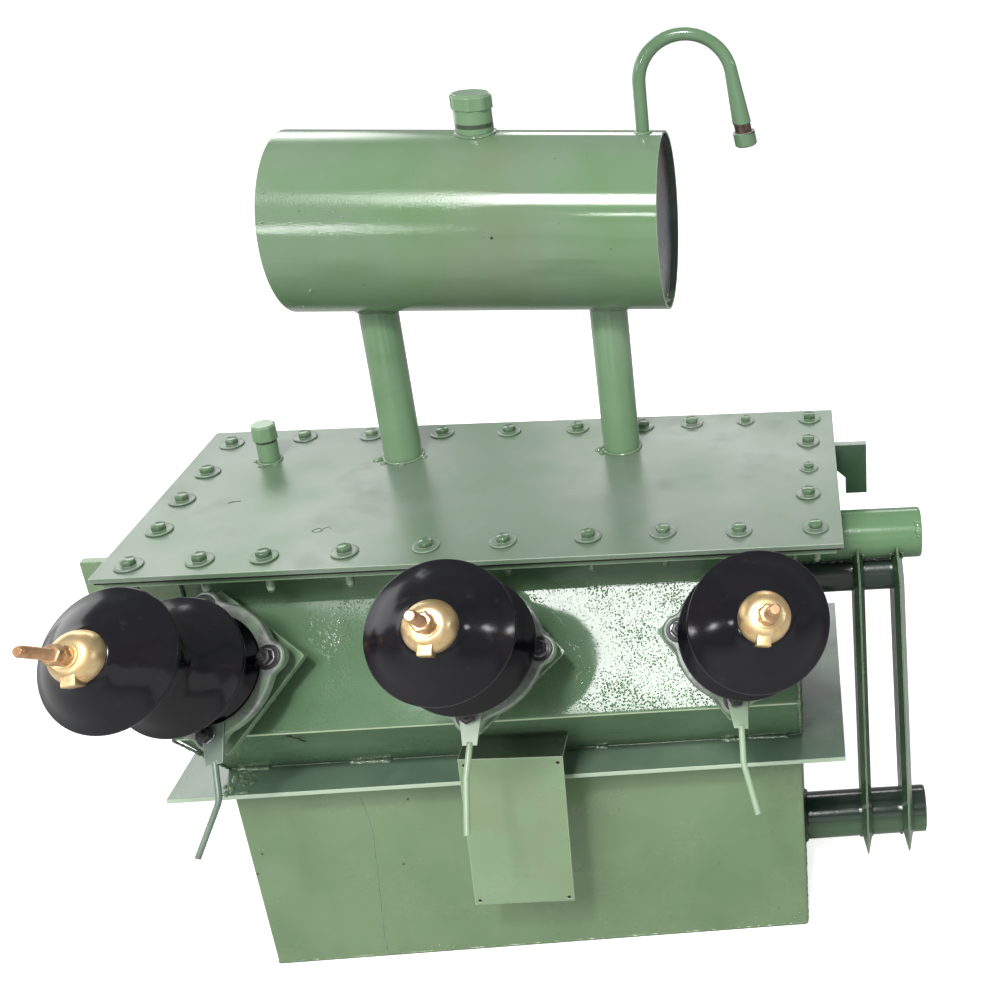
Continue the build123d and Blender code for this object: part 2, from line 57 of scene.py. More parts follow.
# High-voltage bushings: turn of each clamp ring, and the sizes along a bushing from its ring's front
RING_TURN = {"left": 14.9, "centre": -4.1, "right": -14.0}
TERMINAL_HEIGHT = 0.2730
RING_THICKNESS = 0.0113
SEAT_GAP = 0.0343
FOOT_RADIUS = 0.063
NECK_RADIUS = 0.050
CORE_RADIUS = 0.034
REAR_SHED = (0.0772, 0.0578)
FRONT_SHED = (0.0750, 0.1707)
SHED_RIM = 0.0070
SHED_SWELL = 0.0022
DRIP_DEPTH = 0.010
FOOT_EDGE = 0.002
NECK_TOP = 0.016
REAR_RISE = 0.030
CROWN_RADIUS = 0.026
CROWN_HEIGHT = 0.2087
DOME_RADIUS = 0.027
DOME_SKIRT = 0.003
DOME_HEIGHT = 0.022
DOME_TOP_RADIUS = 0.013
LUG_SIDE = 0.015
LUG_START = 0.006
LUG_REACH = 0.0300
LUG_HEIGHT = 0.017
STUD_RADIUS = 0.006
STUD_TIP = 0.2948
THREAD_PITCH = 0.00175
THREAD_DEPTH = 0.0006
THREAD_CREST = (0.4, 0.6)
TIP_SHARE = 0.75
TERMINAL_WASHER_RADIUS = 0.0130
TERMINAL_WASHER = 0.0025
TERMINAL_NUT_FLATS = 0.019
TERMINAL_NUT = 0.010
TERMINAL_NUT_TURN = 0.35

# Clamp rings: distance of their nuts from the bushing's axis, and the nuts' own sizes
LOBE_RADIUS = 0.0730
CLAMP_WASHER_RADIUS = 0.0142
CLAMP_WASHER = 0.0024
SPRING_RADIUS = 0.0098
SPRING = 0.0028
CLAMP_NUT_FLATS = 0.0165
CLAMP_NUT = 0.0090
CLAMP_NUT_SEAT = 0.0050
CLAMP_STUD_RADIUS = 0.0050
CLAMP_STUD_TIP = (0.012, 0.0185)

# Cover bolts: where each stands, as they were drilled by hand
FRONT_ROW = [(-0.392, -0.174), (-0.316, -0.170), (-0.245, -0.169), (-0.156, -0.166), (-0.065, -0.162),
             (0.023, -0.159), (0.122, -0.157), (0.210, -0.154), (0.301, -0.160), (0.393, -0.160)]
BACK_ROW = [(-0.391, 0.135), (-0.299, 0.148), (-0.210, 0.145), (-0.115, 0.143), (-0.024, 0.141),
            (0.069, 0.142), (0.159, 0.140), (0.227, 0.145), (0.302, 0.146), (0.392, 0.145)]
SIDE_ROWS = [(-0.391, -0.095), (-0.394, -0.021), (-0.391, 0.052),
             (0.386, -0.075), (0.388, -0.004), (0.389, 0.072)]
SMALL_BOLTS = [(0.302, 0.146), (0.388, -0.004)]
SMALL_BOLT_SHARE = 0.8
BOLT_RADIUS = 0.0048
BOLT_FLATS = 0.0152
BOLT_HEAD = 0.0068
BOLT_WASHER_RADIUS = 0.0157
BOLT_WASHER = 0.0028
BOLT_TIP_DROP = 0.027
BOLT_LEAN = 0.03

# Nuts and bolt heads: how far their chamfer reaches in and up, as shares of radius and height
CHAMFER_REACH = 0.13
CHAMFER_RISE = 0.10

# Levels and walls of the tank, the drum's axis and the pipes, as the solids have them
COVER_TOP = 0.674
FLANGE_BOTTOM = 0.656
LEDGE_TOP = 0.339
LEDGE_BOTTOM = 0.333
WALL_X = 0.365
LOWER_LEFT_X = -0.368
WALL_Y = 0.131
POCKET_FOOT_Y = -0.128
LIP = (-0.232, 0.469)
BEND_Z = 0.593
DRUM_RADIUS = 0.1125
DRUM_AXIS_Y = 0.087
DRUM_AXIS_Z = 0.9947
DRUM_TURN = -0.0318
DRUM_SLOPE = -0.0122
DRUM_ENDS = (-0.2375, 0.2215)
LEG_PLACES = [(-0.151, 0.080), (0.1365, 0.080)]
LEG_RADIUS = 0.02415
THERMOMETER = (-0.323, 0.082)
FILLER_X = -0.003
BREATHER_X = 0.199
HEADER_RADIUS = 0.034
HEADERS = {"top": (0.567, 0.537), "bottom": (0.082, 0.547)}
UNDER_PIPE_Z = 0.534
FIN_X = {"top": (0.449, 0.502), "bottom": (0.4565, 0.517)}
FIN_WELD_OFFSET = 0.0078
TURRET_RADIUS = 0.052
LUG_PLACES = [(1, 0.100), (-1, -0.126)]
LUG_WELD_OFFSET = 0.0055

# Bare threads that show under the caps, from their lowest to their highest level
BREATHER_THREAD = (1.1035, 1.1150)
POCKET_THREAD = (0.7035, 0.7080)
FILLER_THREAD = (1.1155, 1.1200)

# Distance at which a mesh's points count as one, and how far a lathed end's middle is inset
SAME_POINT = 1e-6
END_INSET = 0.2


def linear(red, green, blue):
    """A colour given as 0 to 255 on screen, as the shader wants it."""
    values = []
    for part in (red, green, blue):
        share = part / 255
        values.append(share / 12.92 if share <= 0.04045 else ((share + 0.055) / 1.055) ** 2.4)
    return (*values, 1.0)


def up(height):
    return Matrix.Translation((0, 0, height))


def spun(turn):
    return Matrix.Rotation(turn, 4, "Z")


def deselect():
    if bpy.context.object and bpy.context.object.mode != "OBJECT":
        bpy.ops.object.mode_set(mode="OBJECT")
    bpy.ops.object.select_all(action="DESELECT")


def only(piece):
    deselect()
    piece.select_set(True)
    bpy.context.view_layer.objects.active = piece


def edit(piece, mode="VERT"):
    only(piece)
    bpy.ops.object.mode_set(mode="EDIT")
    bpy.ops.mesh.select_mode(type=mode)


def leave_edit():
    bpy.ops.object.mode_set(mode="OBJECT")


def unselect(piece):
    """Leaves no point, edge or face of a mesh selected."""
    edit(piece)
    bpy.ops.mesh.select_all(action="DESELECT")
    leave_edit()


def apply_place():
    """Moves the active piece's place, turn and size into its mesh."""
    bpy.ops.object.transform_apply(location=True, rotation=True, scale=True)


def in_scene(name, data):
    """A new object in the scene with this mesh, curve, lamp or camera."""
    piece = bpy.data.objects.new(name, data)
    bpy.context.scene.collection.objects.link(piece)
    return piece


def apply_modifiers(piece):
    only(piece)
    for modifier in list(piece.modifiers):
        bpy.ops.object.modifier_apply(modifier=modifier.name)


def soften(piece, width, segments=2, angle=30):
    """Rounds the sharp edges of a finished shape."""
    bevel = piece.modifiers.new("soft_edges", "BEVEL")
    bevel.width = width
    bevel.segments = segments
    bevel.limit_method = "ANGLE"
    bevel.angle_limit = math.radians(angle)
    apply_modifiers(piece)


def smooth(piece, angle):
    only(piece)
    bpy.ops.object.shade_smooth_by_angle(angle=math.radians(angle))


def turn_out(piece):
    """Merges doubles and points every face outwards."""
    edit(piece)
    bpy.ops.mesh.select_all(action="SELECT")
    bpy.ops.mesh.remove_doubles(threshold=SAME_POINT)
    bpy.ops.mesh.normals_make_consistent(inside=False)
    leave_edit()


def lathe(name, outline, sides):
    """A round piece about Z: one ring at the first radius and height, extruded through the rest."""
    deselect()
    radius, height = outline[0]
    bpy.ops.mesh.primitive_circle_add(vertices=sides, radius=radius, location=(0, 0, height))
    piece = bpy.context.object
    apply_place()
    edit(piece, "EDGE")
    bpy.ops.mesh.select_all(action="SELECT")
    for next_radius, next_height in outline[1:]:
        rise = (0, 0, next_height - height)
        bpy.ops.mesh.extrude_region_move(TRANSFORM_OT_translate={"value": rise})
        share = next_radius / radius
        bpy.ops.transform.resize(value=(share, share, 1), center_override=(0, 0, next_height))
        radius, height = next_radius, next_height
    bpy.ops.mesh.edge_face_add()
    bpy.ops.mesh.inset(thickness=radius * END_INSET)
    bpy.ops.mesh.poke()
    leave_edit()
    close_bottom(piece, outline[0])
    turn_out(piece)
    piece.name = name
    return piece


def close_bottom(piece, start):
    """Fills the first ring of a lathed piece."""
    unselect(piece)
    radius, height = start
    for point in piece.data.vertices:
        flat = math.hypot(point.co.x, point.co.y)
        point.select = abs(point.co.z - height) < 1e-7 and abs(flat - radius) < 1e-6
    edit(piece, "VERT")
    bpy.ops.mesh.edge_face_add()
    leave_edit()


def arc(centre, radius, start, end, steps):
    """Points of radius and height along an arc, in degrees from outwards to upwards."""
    points = []
    for step in range(steps + 1):
        turn = math.radians(start + (end - start) * step / steps)
        points.append((centre[0] + radius * math.cos(turn), centre[1] + radius * math.sin(turn)))
    return points


def place(piece, matrix):
    """Moves a piece to its place and leaves its object at the origin."""
    only(piece)
    piece.matrix_world = matrix
    bpy.context.view_layer.update()
    apply_place()


def twin(piece, matrix):
    """A copy with its own mesh, set in another place."""
    copy = in_scene(piece.name, piece.data.copy())
    place(copy, matrix)
    return copy


def join(pieces, name):
    deselect()
    for piece in pieces:
        piece.select_set(True)
    bpy.context.view_layer.objects.active = pieces[0]
    bpy.ops.object.join()
    pieces[0].name = name
    return pieces[0]


def remove(piece):
    bpy.data.objects.remove(piece)


def paint_on(piece, material, angle=None):
    """Gives a piece its material, and smooth faces up to an angle in degrees."""
    piece.data.materials.clear()
    piece.data.materials.append(material)
    if angle:
        smooth(piece, angle)


def done(piece, replaced=()):
    """Rides on the body and stands for the nodes it replaces."""
    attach(piece, "root")
    if replaced:
        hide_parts(*replaced)


def dress(material, *nodes):
    for node in nodes:
        for holder in NODES[node].material_slots:
            holder.material = material


def bushing_frame(side):
    """Place and axes of one bushing: its ring's front plane, Z outwards along the bushing."""
    terminal = MOUNTS["hv_terminal_" + side]
    along = Vector(terminal["axis"]).normalized()
    origin = Vector(terminal["pos_m"]) - along * TERMINAL_HEIGHT
    across = Vector((-along.y, along.x, 0)).normalized()
    across = Matrix.Rotation(math.radians(RING_TURN[side]), 3, along) @ across
    upright = along.cross(across)
    turned = Matrix((across, upright, along)).transposed().to_4x4()
    return Matrix.Translation(origin) @ turned


# Materials


# Worn paint and painted highlight along edges
WORN_PAINT_AND_HIGHLIGHT = linear(196, 212, 188)
# Dirt and painted shade in corners and seams
GRIME_AND_SHADE = linear(44, 54, 40)
DARK_SPECK = linear(46, 56, 42)


class Graph:
    """Nodes of one material, wired from left to right."""

    def __init__(self, name):
        self.material = bpy.data.materials.new(name)
        self.material.use_nodes = True
        self.nodes = self.material.node_tree.nodes
        self.links = self.material.node_tree.links
        self.shader = self.nodes["Principled BSDF"]
        self.where = self.nodes.new("ShaderNodeTexCoord").outputs["Object"]

    def add(self, kind, inputs=None, **settings):
        node = self.nodes.new(kind)
        for key, value in settings.items():
            setattr(node, key, value)
        for key, value in (inputs or {}).items():
            self.set(node.inputs[key], value)
        return node

    def set(self, socket, value):
        if isinstance(value, bpy.types.NodeSocket):
            self.links.new(value, socket)
        else:
            socket.default_value = value

    def noise(self, scale, detail=2.0, roughness=0.5, where=None):
        inputs = {"Vector": where or self.where, "Scale": scale, "Detail": detail, "Roughness": roughness}
        return self.add("ShaderNodeTexNoise", inputs).outputs["Fac"]

    def ramp(self, value, low, high):
        """0 below low, 1 above high."""
        inputs = {"Value": value, "From Min": low, "From Max": high}
        return self.add("ShaderNodeMapRange", inputs).outputs["Result"]

    def between(self, share, first, second):
        """A colour between two others."""
        inputs = {"Factor": share, "A": first, "B": second}
        return self.add("ShaderNodeMix", inputs, data_type="RGBA").outputs["Result"]

    def level(self, share, low, high):
        """A number between two others."""
        inputs = {"Value": share, "To Min": low, "To Max": high}
        return self.add("ShaderNodeMapRange", inputs).outputs["Result"]

    def work_out(self, operation, first, second):
        return self.add("ShaderNodeMath", {0: first, 1: second}, operation=operation).outputs["Value"]

    def times(self, first, second):
        return self.work_out("MULTIPLY", first, second)

    def larger(self, first, second):
        return self.work_out("MAXIMUM", first, second)

    def bump(self, height, distance, strength, normal=None):
        inputs = {"Height": height, "Distance": distance, "Strength": strength}
        if normal:
            inputs["Normal"] = normal
        return self.add("ShaderNodeBump", inputs).outputs["Normal"]

    def soft_corner(self, radius):
        return self.add("ShaderNodeBevel", {"Radius": radius}, samples=6).outputs["Normal"]

    def along(self, axis):
        """The Object coordinate on one axis."""
        return self.add("ShaderNodeSeparateXYZ", {"Vector": self.where}).outputs[axis]

    def edges(self, radius):
        """1 along sharp edges, 0 on open faces."""
        flat = self.add("ShaderNodeNewGeometry").outputs["Normal"]
        sides = {0: self.soft_corner(radius), 1: flat}
        node = self.add("ShaderNodeVectorMath", sides, operation="DOT_PRODUCT")
        return self.ramp(node.outputs["Value"], 0.985, 0.90)

    def facing(self, axis, low, high):
        """0 to 1 with the share of a face's direction on one axis."""
        flat = self.add("ShaderNodeNewGeometry").outputs["Normal"]
        return self.ramp(self.add("ShaderNodeSeparateXYZ", {"Vector": flat}).outputs[axis], low, high)

    def within(self, axis, low, high, fade):
        """1 between two places on an axis, fading out at both."""
        where = self.along(axis)
        return self.times(self.ramp(where, low - fade, low), self.ramp(where, high + fade, high))

    def crevice(self, reach):
        """1 deep in corners and seams, 0 on open faces."""
        node = self.add("ShaderNodeAmbientOcclusion", {"Distance": reach}, samples=5)
        return self.ramp(node.outputs["AO"], 0.72, 0.30)

    def dimples(self, scale):
        """1 on open paint, falling to 0 in the middle of scattered round pits."""
        cells = self.add("ShaderNodeTexVoronoi", {"Vector": self.where, "Scale": scale})
        reach = self.level(self.ramp(self.noise(24.0), 0.35, 0.62), 0.20, 0.48)
        return self.ramp(self.work_out("DIVIDE", cells.outputs["Distance"], reach), 0.0, 1.0)

    def stretched(self, x, y, z):
        """Object coordinates drawn out along an axis."""
        inputs = {"Vector": self.where, "Scale": (x, y, z)}
        return self.add("ShaderNodeMapping", inputs).outputs["Vector"]

    def finish(self, inputs):
        """Wires the shader and gives the finished material."""
        for key, value in inputs.items():
            self.set(self.shader.inputs[key], value)
        return self.material


def enamel(name, colour, deep, pale, gloss=(0.16, 0.34), peel=(300.0, 0.00010), ripple=0.0020,
           corner=0.0014, dirt_and_shade=0.55, worn=0.55, peel_share=None, pits=False, accent=None, mirror=0.6):
    """Thick glossy enamel over sheet: uneven coats, runs, orange peel and dust, pale edges of worn paint
    and painted highlight, and corners darkened by dirt and painted shade.
    """
    g = Graph(name)
    colour, deep, pale = linear(*colour), linear(*deep), linear(*pale)
    patches = g.ramp(g.noise(5.5, 3.0, 0.55), 0.40, 0.64)
    streaks = g.ramp(g.noise(1.0, 3.0, 0.6, g.stretched(26.0, 26.0, 3.0)), 0.50, 0.74)
    dust = g.ramp(g.noise(9.0, 5.0, 0.65), 0.50, 0.76)
    specks = g.ramp(g.noise(150.0, 1.0, 0.5), 0.79, 0.82)
    tone = g.between(patches, colour, deep)
    tone = g.between(g.times(streaks, 0.30), tone, deep)
    tone = g.between(g.times(dust, 0.40), tone, pale)
    tone = g.between(g.times(specks, 0.45), tone, DARK_SPECK)
    if accent:
        tone = accent(g, tone)
    # Pale along every sharp edge: worn paint and a painted highlight
    tone = g.between(g.times(g.edges(0.0016), worn), tone, WORN_PAINT_AND_HIGHLIGHT)
    # Darker in corners and seams by the occlusion mask: dirt and painted shade
    tone = g.between(g.times(g.crevice(0.010), dirt_and_shade), tone, GRIME_AND_SHADE)
    dullness = g.level(g.larger(dust, g.times(patches, 0.35)), *gloss)
    normal = g.bump(g.noise(6.0, 2.0, 0.4), ripple, 0.5, g.soft_corner(corner))
    grain = g.dimples(peel[0]) if pits else g.noise(peel[0], 2.0, 0.55)
    normal = g.bump(grain, peel[1], peel_share(g) if peel_share else 1.0, normal)
    return g.finish({"Base Color": tone, "Roughness": dullness, "Normal": normal,
                     "Specular IOR Level": mirror})


def fold_highlight(g, tone):
    """A pale line along the pocket's rounded fold: worn paint and a painted highlight."""
    level = g.within("Z", LIP[1] - 0.0040, LIP[1] + 0.0002, 0.001)
    line = g.times(level, g.ramp(g.along("Y"), LIP[0] + 0.006, LIP[0] + 0.004))
    return g.between(g.times(line, 0.9), tone, linear(188, 206, 168))


def front_face_highlight(g, tone):
    """Painted highlight: the ledge plate's front faces made bright, as they face the light."""
    return g.between(g.times(g.facing("Y", -0.5, -0.9), 0.85), tone, linear(186, 206, 180))


def shelf_shadow(g, tone):
    """Painted shadow on the bracket's upward-facing shelf, and brownish tints down its face."""
    tint = g.times(g.ramp(g.noise(12.0), 0.48, 0.66), 0.25)
    tone = g.between(tint, tone, linear(140, 136, 108))
    return g.between(g.times(g.facing("Z", 0.5, 0.9), 0.85), tone, linear(34, 42, 34))


def olive_band_and_inner_shade(g, tone):
    """Thin coats over primer down the middle of the drum, and painted shade on the wall inside its ends.
    """
    band = g.times(g.within("X", -0.03, 0.05, 0.05), g.ramp(g.noise(9.0), 0.36, 0.60))
    tone = g.between(g.times(band, 0.45), tone, linear(112, 122, 94))
    inside = g.times(g.ramp(g.along("Y"), 0.105, 0.115), g.facing("Y", -0.05, -0.25))
    return g.between(g.times(inside, 0.8), tone, linear(62, 66, 70))


def header_shade(g, tone):
    """Painted shade: the top header darkens downwards; the short pipe under it is near-black."""
    tone = g.between(g.ramp(g.along("Z"), 0.566, 0.534), tone, linear(62, 88, 62))
    return g.between(g.ramp(g.along("Z"), 0.5375, 0.5345), tone, linear(34, 50, 40))


def green_under(g, tone):
    """The bottom header is greener on its lower half."""
    return g.between(g.ramp(g.along("Z"), 0.102, 0.084), tone, linear(74, 102, 72))


def rusty_end(g, tone):
    """Bare rusty thread between the breather pipe and its cap."""
    bare = g.times(g.within("Z", *BREATHER_THREAD, 0.0005), g.ramp(g.along("X"), 0.27, 0.28))
    rust = g.between(g.ramp(g.noise(180.0, 3.0, 0.6), 0.4, 0.6), linear(58, 44, 38), linear(94, 76, 66))
    return g.between(bare, tone, rust)


def cap_shadow(g, tone):
    """Painted shadow on the bare thread under the pocket's and the filler's caps."""
    gap = g.larger(g.within("Z", *POCKET_THREAD, 0.001), g.within("Z", *FILLER_THREAD, 0.001))
    return g.between(g.times(gap, 0.85), tone, linear(50, 52, 46))


def end_plate(g, tone):
    """Darker purple-brown above, bluish in the middle and paler grey below."""
    tone = g.between(g.ramp(g.along("Z"), 0.985, 1.03), tone, linear(74, 52, 62))
    return g.between(g.ramp(g.along("Z"), 0.96, 0.92), tone, linear(126, 124, 130))


def metal_rod(g, tone):
    """The left horn's rod, bare grey steel towards its tip."""
    return g.between(g.ramp(g.along("Z"), 0.43, 0.37), tone, linear(84, 86, 88))


def on_slant(g):
    """Deep pits on the slanted face, hardly any on the other walls."""
    z = g.along("Z")
    face = g.times(g.ramp(z, LIP[1] - 0.002, LIP[1] + 0.006), g.ramp(z, BEND_Z + 0.012, BEND_Z - 0.006))
    clear = g.ramp(g.noise(7.0), 0.66, 0.56)
    return g.level(g.times(face, clear), 0.10, 1.0)


def along_drum(g):
    """Dry spray on the drum's left half, smooth enamel on its right."""
    wander = g.times(g.noise(18.0), 0.05)
    return g.level(g.ramp(g.work_out("ADD", g.along("X"), wander), 0.075, 0.02), 0.18, 1.0)


def glaze():
    """Near-black brown porcelain glaze with a purple cast."""
    g = Graph("porcelain_glaze")
    cloud = g.ramp(g.noise(14.0, 3.0, 0.55), 0.35, 0.70)
    tone = g.between(cloud, linear(9, 9, 17), linear(17, 13, 20))
    dust = g.ramp(g.noise(60.0, 4.0, 0.7), 0.60, 0.80)
    tone = g.between(g.times(dust, 0.18), tone, linear(80, 78, 96))
    dullness = g.level(dust, 0.16, 0.30)
    normal = g.bump(g.noise(22.0), 0.0009, 0.35)
    normal = g.bump(g.noise(160.0), 0.00006, 0.6, normal)
    return g.finish({"Base Color": tone, "Roughness": dullness, "Normal": normal,
                     "Specular IOR Level": 0.4})


def metal(name, colour, worn, roughness, grain):
    """Bare metal with uneven polish and a fine surface."""
    g = Graph(name)
    patina = g.ramp(g.noise(70.0, 4.0, 0.65), 0.42, 0.70)
    tone = g.between(patina, linear(*colour), linear(*worn))
    dullness = g.level(patina, roughness, roughness + 0.18)
    normal = g.bump(g.noise(grain, 3.0, 0.6), 0.00008, 1.0, g.soft_corner(0.0006))
    return g.finish({"Base Color": tone, "Roughness": dullness, "Normal": normal, "Metallic": 1.0})


def casting():
    """Sand-cast aluminium with the tank's green spray on its edges."""
    g = Graph("cast_aluminium")
    spray = g.ramp(g.noise(26.0, 4.0, 0.6), 0.42, 0.60)
    grey = g.ramp(g.noise(120.0, 4.0, 0.7), 0.35, 0.7)
    bare = g.between(grey, linear(164, 168, 164), linear(112, 116, 114))
    tone = g.between(spray, bare, linear(126, 150, 122))
    normal = g.bump(g.noise(420.0, 3.0, 0.65), 0.00022, 1.0, g.soft_corner(0.0016))
    return g.finish({"Base Color": tone, "Roughness": g.level(spray, 0.50, 0.34), "Normal": normal,
                     "Metallic": g.level(spray, 0.75, 0.0)})


def plain_rough(name, colour, second, roughness, grain, depth):
    """A dull surface such as rubber, blackened steel or primer in a chip."""
    g = Graph(name)
    share = g.ramp(g.noise(grain / 4, 4.0, 0.65), 0.38, 0.64)
    tone = g.between(share, linear(*colour), linear(*second))
    dullness = g.level(share, roughness, roughness + 0.15)
    normal = g.bump(g.noise(grain, 3.0, 0.6), depth, 1.0, g.soft_corner(0.0006))
    return g.finish({"Base Color": tone, "Roughness": dullness, "Normal": normal})


TANK = enamel("tank_enamel", (118, 142, 106), (106, 131, 95), (129, 148, 122), gloss=(0.22, 0.40))
BRACKET = enamel("bracket_enamel", (133, 157, 123), (125, 151, 114), (141, 158, 133),
                 gloss=(0.24, 0.42), worn=0.85, accent=shelf_shadow)
UPPER = enamel("upper_tank_enamel", (98, 126, 96), (84, 112, 82), (112, 134, 110),
               gloss=(0.05, 0.12), peel=(370.0, 0.00060), peel_share=on_slant, pits=True,
               accent=fold_highlight, mirror=0.37)
EDGE = enamel("plate_enamel", (112, 138, 108), (98, 126, 94), (134, 152, 130),
              gloss=(0.22, 0.40), worn=0.8)
LEDGE = enamel("ledge_enamel", (106, 128, 108), (88, 112, 94), (124, 142, 124),
               gloss=(0.18, 0.34), worn=0.9, accent=front_face_highlight)
# The cover's colours are greyed: partly its paint, partly a painted sheen of the pale room.
COVER = enamel("cover_enamel", (111, 126, 111), (96, 121, 94), (132, 135, 133),
               gloss=(0.28, 0.46), peel=(300.0, 0.00006), worn=0.8)
BOLT = enamel("bolt_enamel", (98, 124, 94), (80, 108, 78), (128, 146, 122),
              gloss=(0.14, 0.30), corner=0.0005, dirt_and_shade=0.8, worn=0.7)
DRUM = enamel("drum_enamel", (113, 136, 110), (100, 132, 92), (124, 144, 120),
              gloss=(0.07, 0.16), peel=(520.0, 0.00019), ripple=0.0006, peel_share=along_drum,
              accent=olive_band_and_inner_shade)
DRUM_END = enamel("drum_end_enamel", (78, 86, 98), (56, 74, 82), (100, 98, 104),
                  gloss=(0.25, 0.4), accent=end_plate)
PIPE = enamel("pipe_enamel", (118, 148, 114), (102, 134, 98), (138, 158, 134),
              gloss=(0.14, 0.30), dirt_and_shade=0.9)
BREATHER = enamel("breather_enamel", (100, 130, 98), (84, 114, 82), (124, 146, 122),
                  gloss=(0.10, 0.22), dirt_and_shade=0.9, accent=rusty_end)
CAPPED = enamel("capped_pipe_enamel", (118, 148, 114), (102, 134, 98), (138, 158, 134),
                gloss=(0.14, 0.30), dirt_and_shade=0.9, accent=cap_shadow)
# The right lifting lug: a darker copy of the tank's paint, painted shade under the cover's edge.
LUG = enamel("lug_enamel_in_shade", (62, 90, 66), (48, 74, 54), (84, 106, 84), worn=0.8)
TOP_HEADER = enamel("top_header_enamel", (106, 142, 102), (92, 130, 88), (118, 150, 112),
                    accent=header_shade)
FIN = enamel("fin_enamel", (74, 104, 72), (58, 86, 58), (100, 126, 92), worn=0.8)
DARK_COAT = enamel("dark_pipe_enamel", (36, 52, 44), (30, 46, 38), (56, 76, 60),
                   gloss=(0.10, 0.25), accent=green_under)
WELD = enamel("weld_enamel", (116, 140, 110), (90, 116, 86), (146, 162, 140),
              gloss=(0.10, 0.26), peel=(500.0, 0.00030), dirt_and_shade=0.9)
HORN = enamel("horn_enamel", (150, 174, 144), (138, 164, 132), (170, 186, 162), gloss=(0.30, 0.45))
PALE_HORN = enamel("pale_horn_enamel", (112, 130, 116), (96, 114, 100), (140, 150, 140),
                   gloss=(0.30, 0.45), accent=metal_rod)
PORCELAIN = glaze()
BRASS = metal("machined_brass", (242, 214, 166), (216, 176, 120), 0.36, 300.0)
STUD_BRASS = metal("stud_brass", (222, 182, 142), (180, 132, 98), 0.32, 500.0)
CAST = casting()
GREY_STEEL = metal("grey_steel", (168, 170, 168), (120, 122, 122), 0.38, 300.0)
BLACK_STEEL = plain_rough("black_steel", (30, 28, 32), (46, 44, 46), 0.34, 300.0, 0.0001)
RUBBER = plain_rough("gasket_rubber", (26, 26, 26), (44, 42, 40), 0.62, 240.0, 0.0003)
CHIP_AND_HOLE_SHADE = plain_rough("chipped_paint_and_hole_shade", (26, 28, 24), (50, 46, 36), 0.60, 300.0, 0.0001)


def hexagon(name, flats, height, corner=0.0008):
    """A nut or bolt head standing on Z = 0, its corners chamfered and its edges soft."""
    deselect()
    radius = flats / 2 / math.cos(math.pi / 6)
    middle = (0, 0, height / 2)
    bpy.ops.mesh.primitive_cylinder_add(vertices=6, radius=radius, depth=height, location=middle)
    piece = bpy.context.object
    apply_place()
    unselect(piece)
    for face in piece.data.polygons:
        face.select = face.normal.z > 0.9
    edit(piece, "FACE")
    bpy.ops.mesh.inset(thickness=radius * CHAMFER_REACH)
    bpy.ops.transform.translate(value=(0, 0, height * CHAMFER_RISE))
    leave_edit()
    place(piece, Matrix.Scale(1 / (1 + CHAMFER_RISE), 4, (0, 0, 1)))
    soften(piece, corner, 2)
    piece.name = name
    return piece


def disc(name, radius, height, corner=0.0005, sides=40):
    """A washer or button standing on Z = 0."""
    piece = lathe(name, [(radius, 0), (radius, height)], sides)
    soften(piece, corner, 2, 60)
    return piece


def threaded_rod(name, radius, start, end, sides=28):
    """A rod whose surface is cut in turns of thread, with a chamfered tip."""
    outline = [(radius - THREAD_DEPTH, start)]
    height = start
    while height + THREAD_PITCH < end - radius * (1 - TIP_SHARE):
        for share in THREAD_CREST:
            outline.append((radius, height + THREAD_PITCH * share))
        outline.append((radius - THREAD_DEPTH, height + THREAD_PITCH))
        height += THREAD_PITCH
    outline.append((radius * TIP_SHARE, end))
    return lathe(name, outline, sides)


# High-voltage bushings


def shed(rim_radius, rim_top, stem_radius, root_radius, root_height):
    """Outline of one shed from its stem, under its drip edge, round the rim and up its back."""
    edge = SHED_RIM / 2
    under = rim_top - SHED_RIM
    points = [(stem_radius, under - DRIP_DEPTH), (stem_radius + 0.004, under - DRIP_DEPTH / 2)]
    points.append((rim_radius - 0.012, under - 0.0005))
    points += arc((rim_radius - edge, under + edge), edge, -90, 62, 9)
    lift = root_height - rim_top
    reach = rim_radius - edge - root_radius
    for step in range(1, 8):
        share = step / 8
        swell = math.sin(math.pi * share) * SHED_SWELL
        points.append((rim_radius - edge - reach * share, rim_top + lift * share + swell - 0.0004))
    points.append((root_radius, root_height))
    return points


def make_porcelain():
    outline = [(FOOT_RADIUS - 0.003, -SEAT_GAP), (FOOT_RADIUS, -SEAT_GAP + FOOT_EDGE)]
    outline += [(FOOT_RADIUS, -FOOT_EDGE), (FOOT_RADIUS - FOOT_EDGE, 0.0)]
    outline += [(NECK_RADIUS + 0.004, 0.010), (NECK_RADIUS, NECK_TOP)]
    rear_root = REAR_SHED[1] + REAR_RISE
    outline += shed(*REAR_SHED, NECK_RADIUS, CORE_RADIUS + 0.006, rear_root)
    outline += [(CORE_RADIUS + 0.002, rear_root + 0.005), (CORE_RADIUS, rear_root + 0.010)]
    outline += shed(*FRONT_SHED, CORE_RADIUS, CROWN_RADIUS + 0.006, CROWN_HEIGHT - 0.005)
    outline += [(CROWN_RADIUS + 0.002, CROWN_HEIGHT - 0.001), (CROWN_RADIUS - 0.002, CROWN_HEIGHT)]
    piece = lathe("porcelain", outline, 96)
    paint_on(piece, PORCELAIN, 50)
    return piece


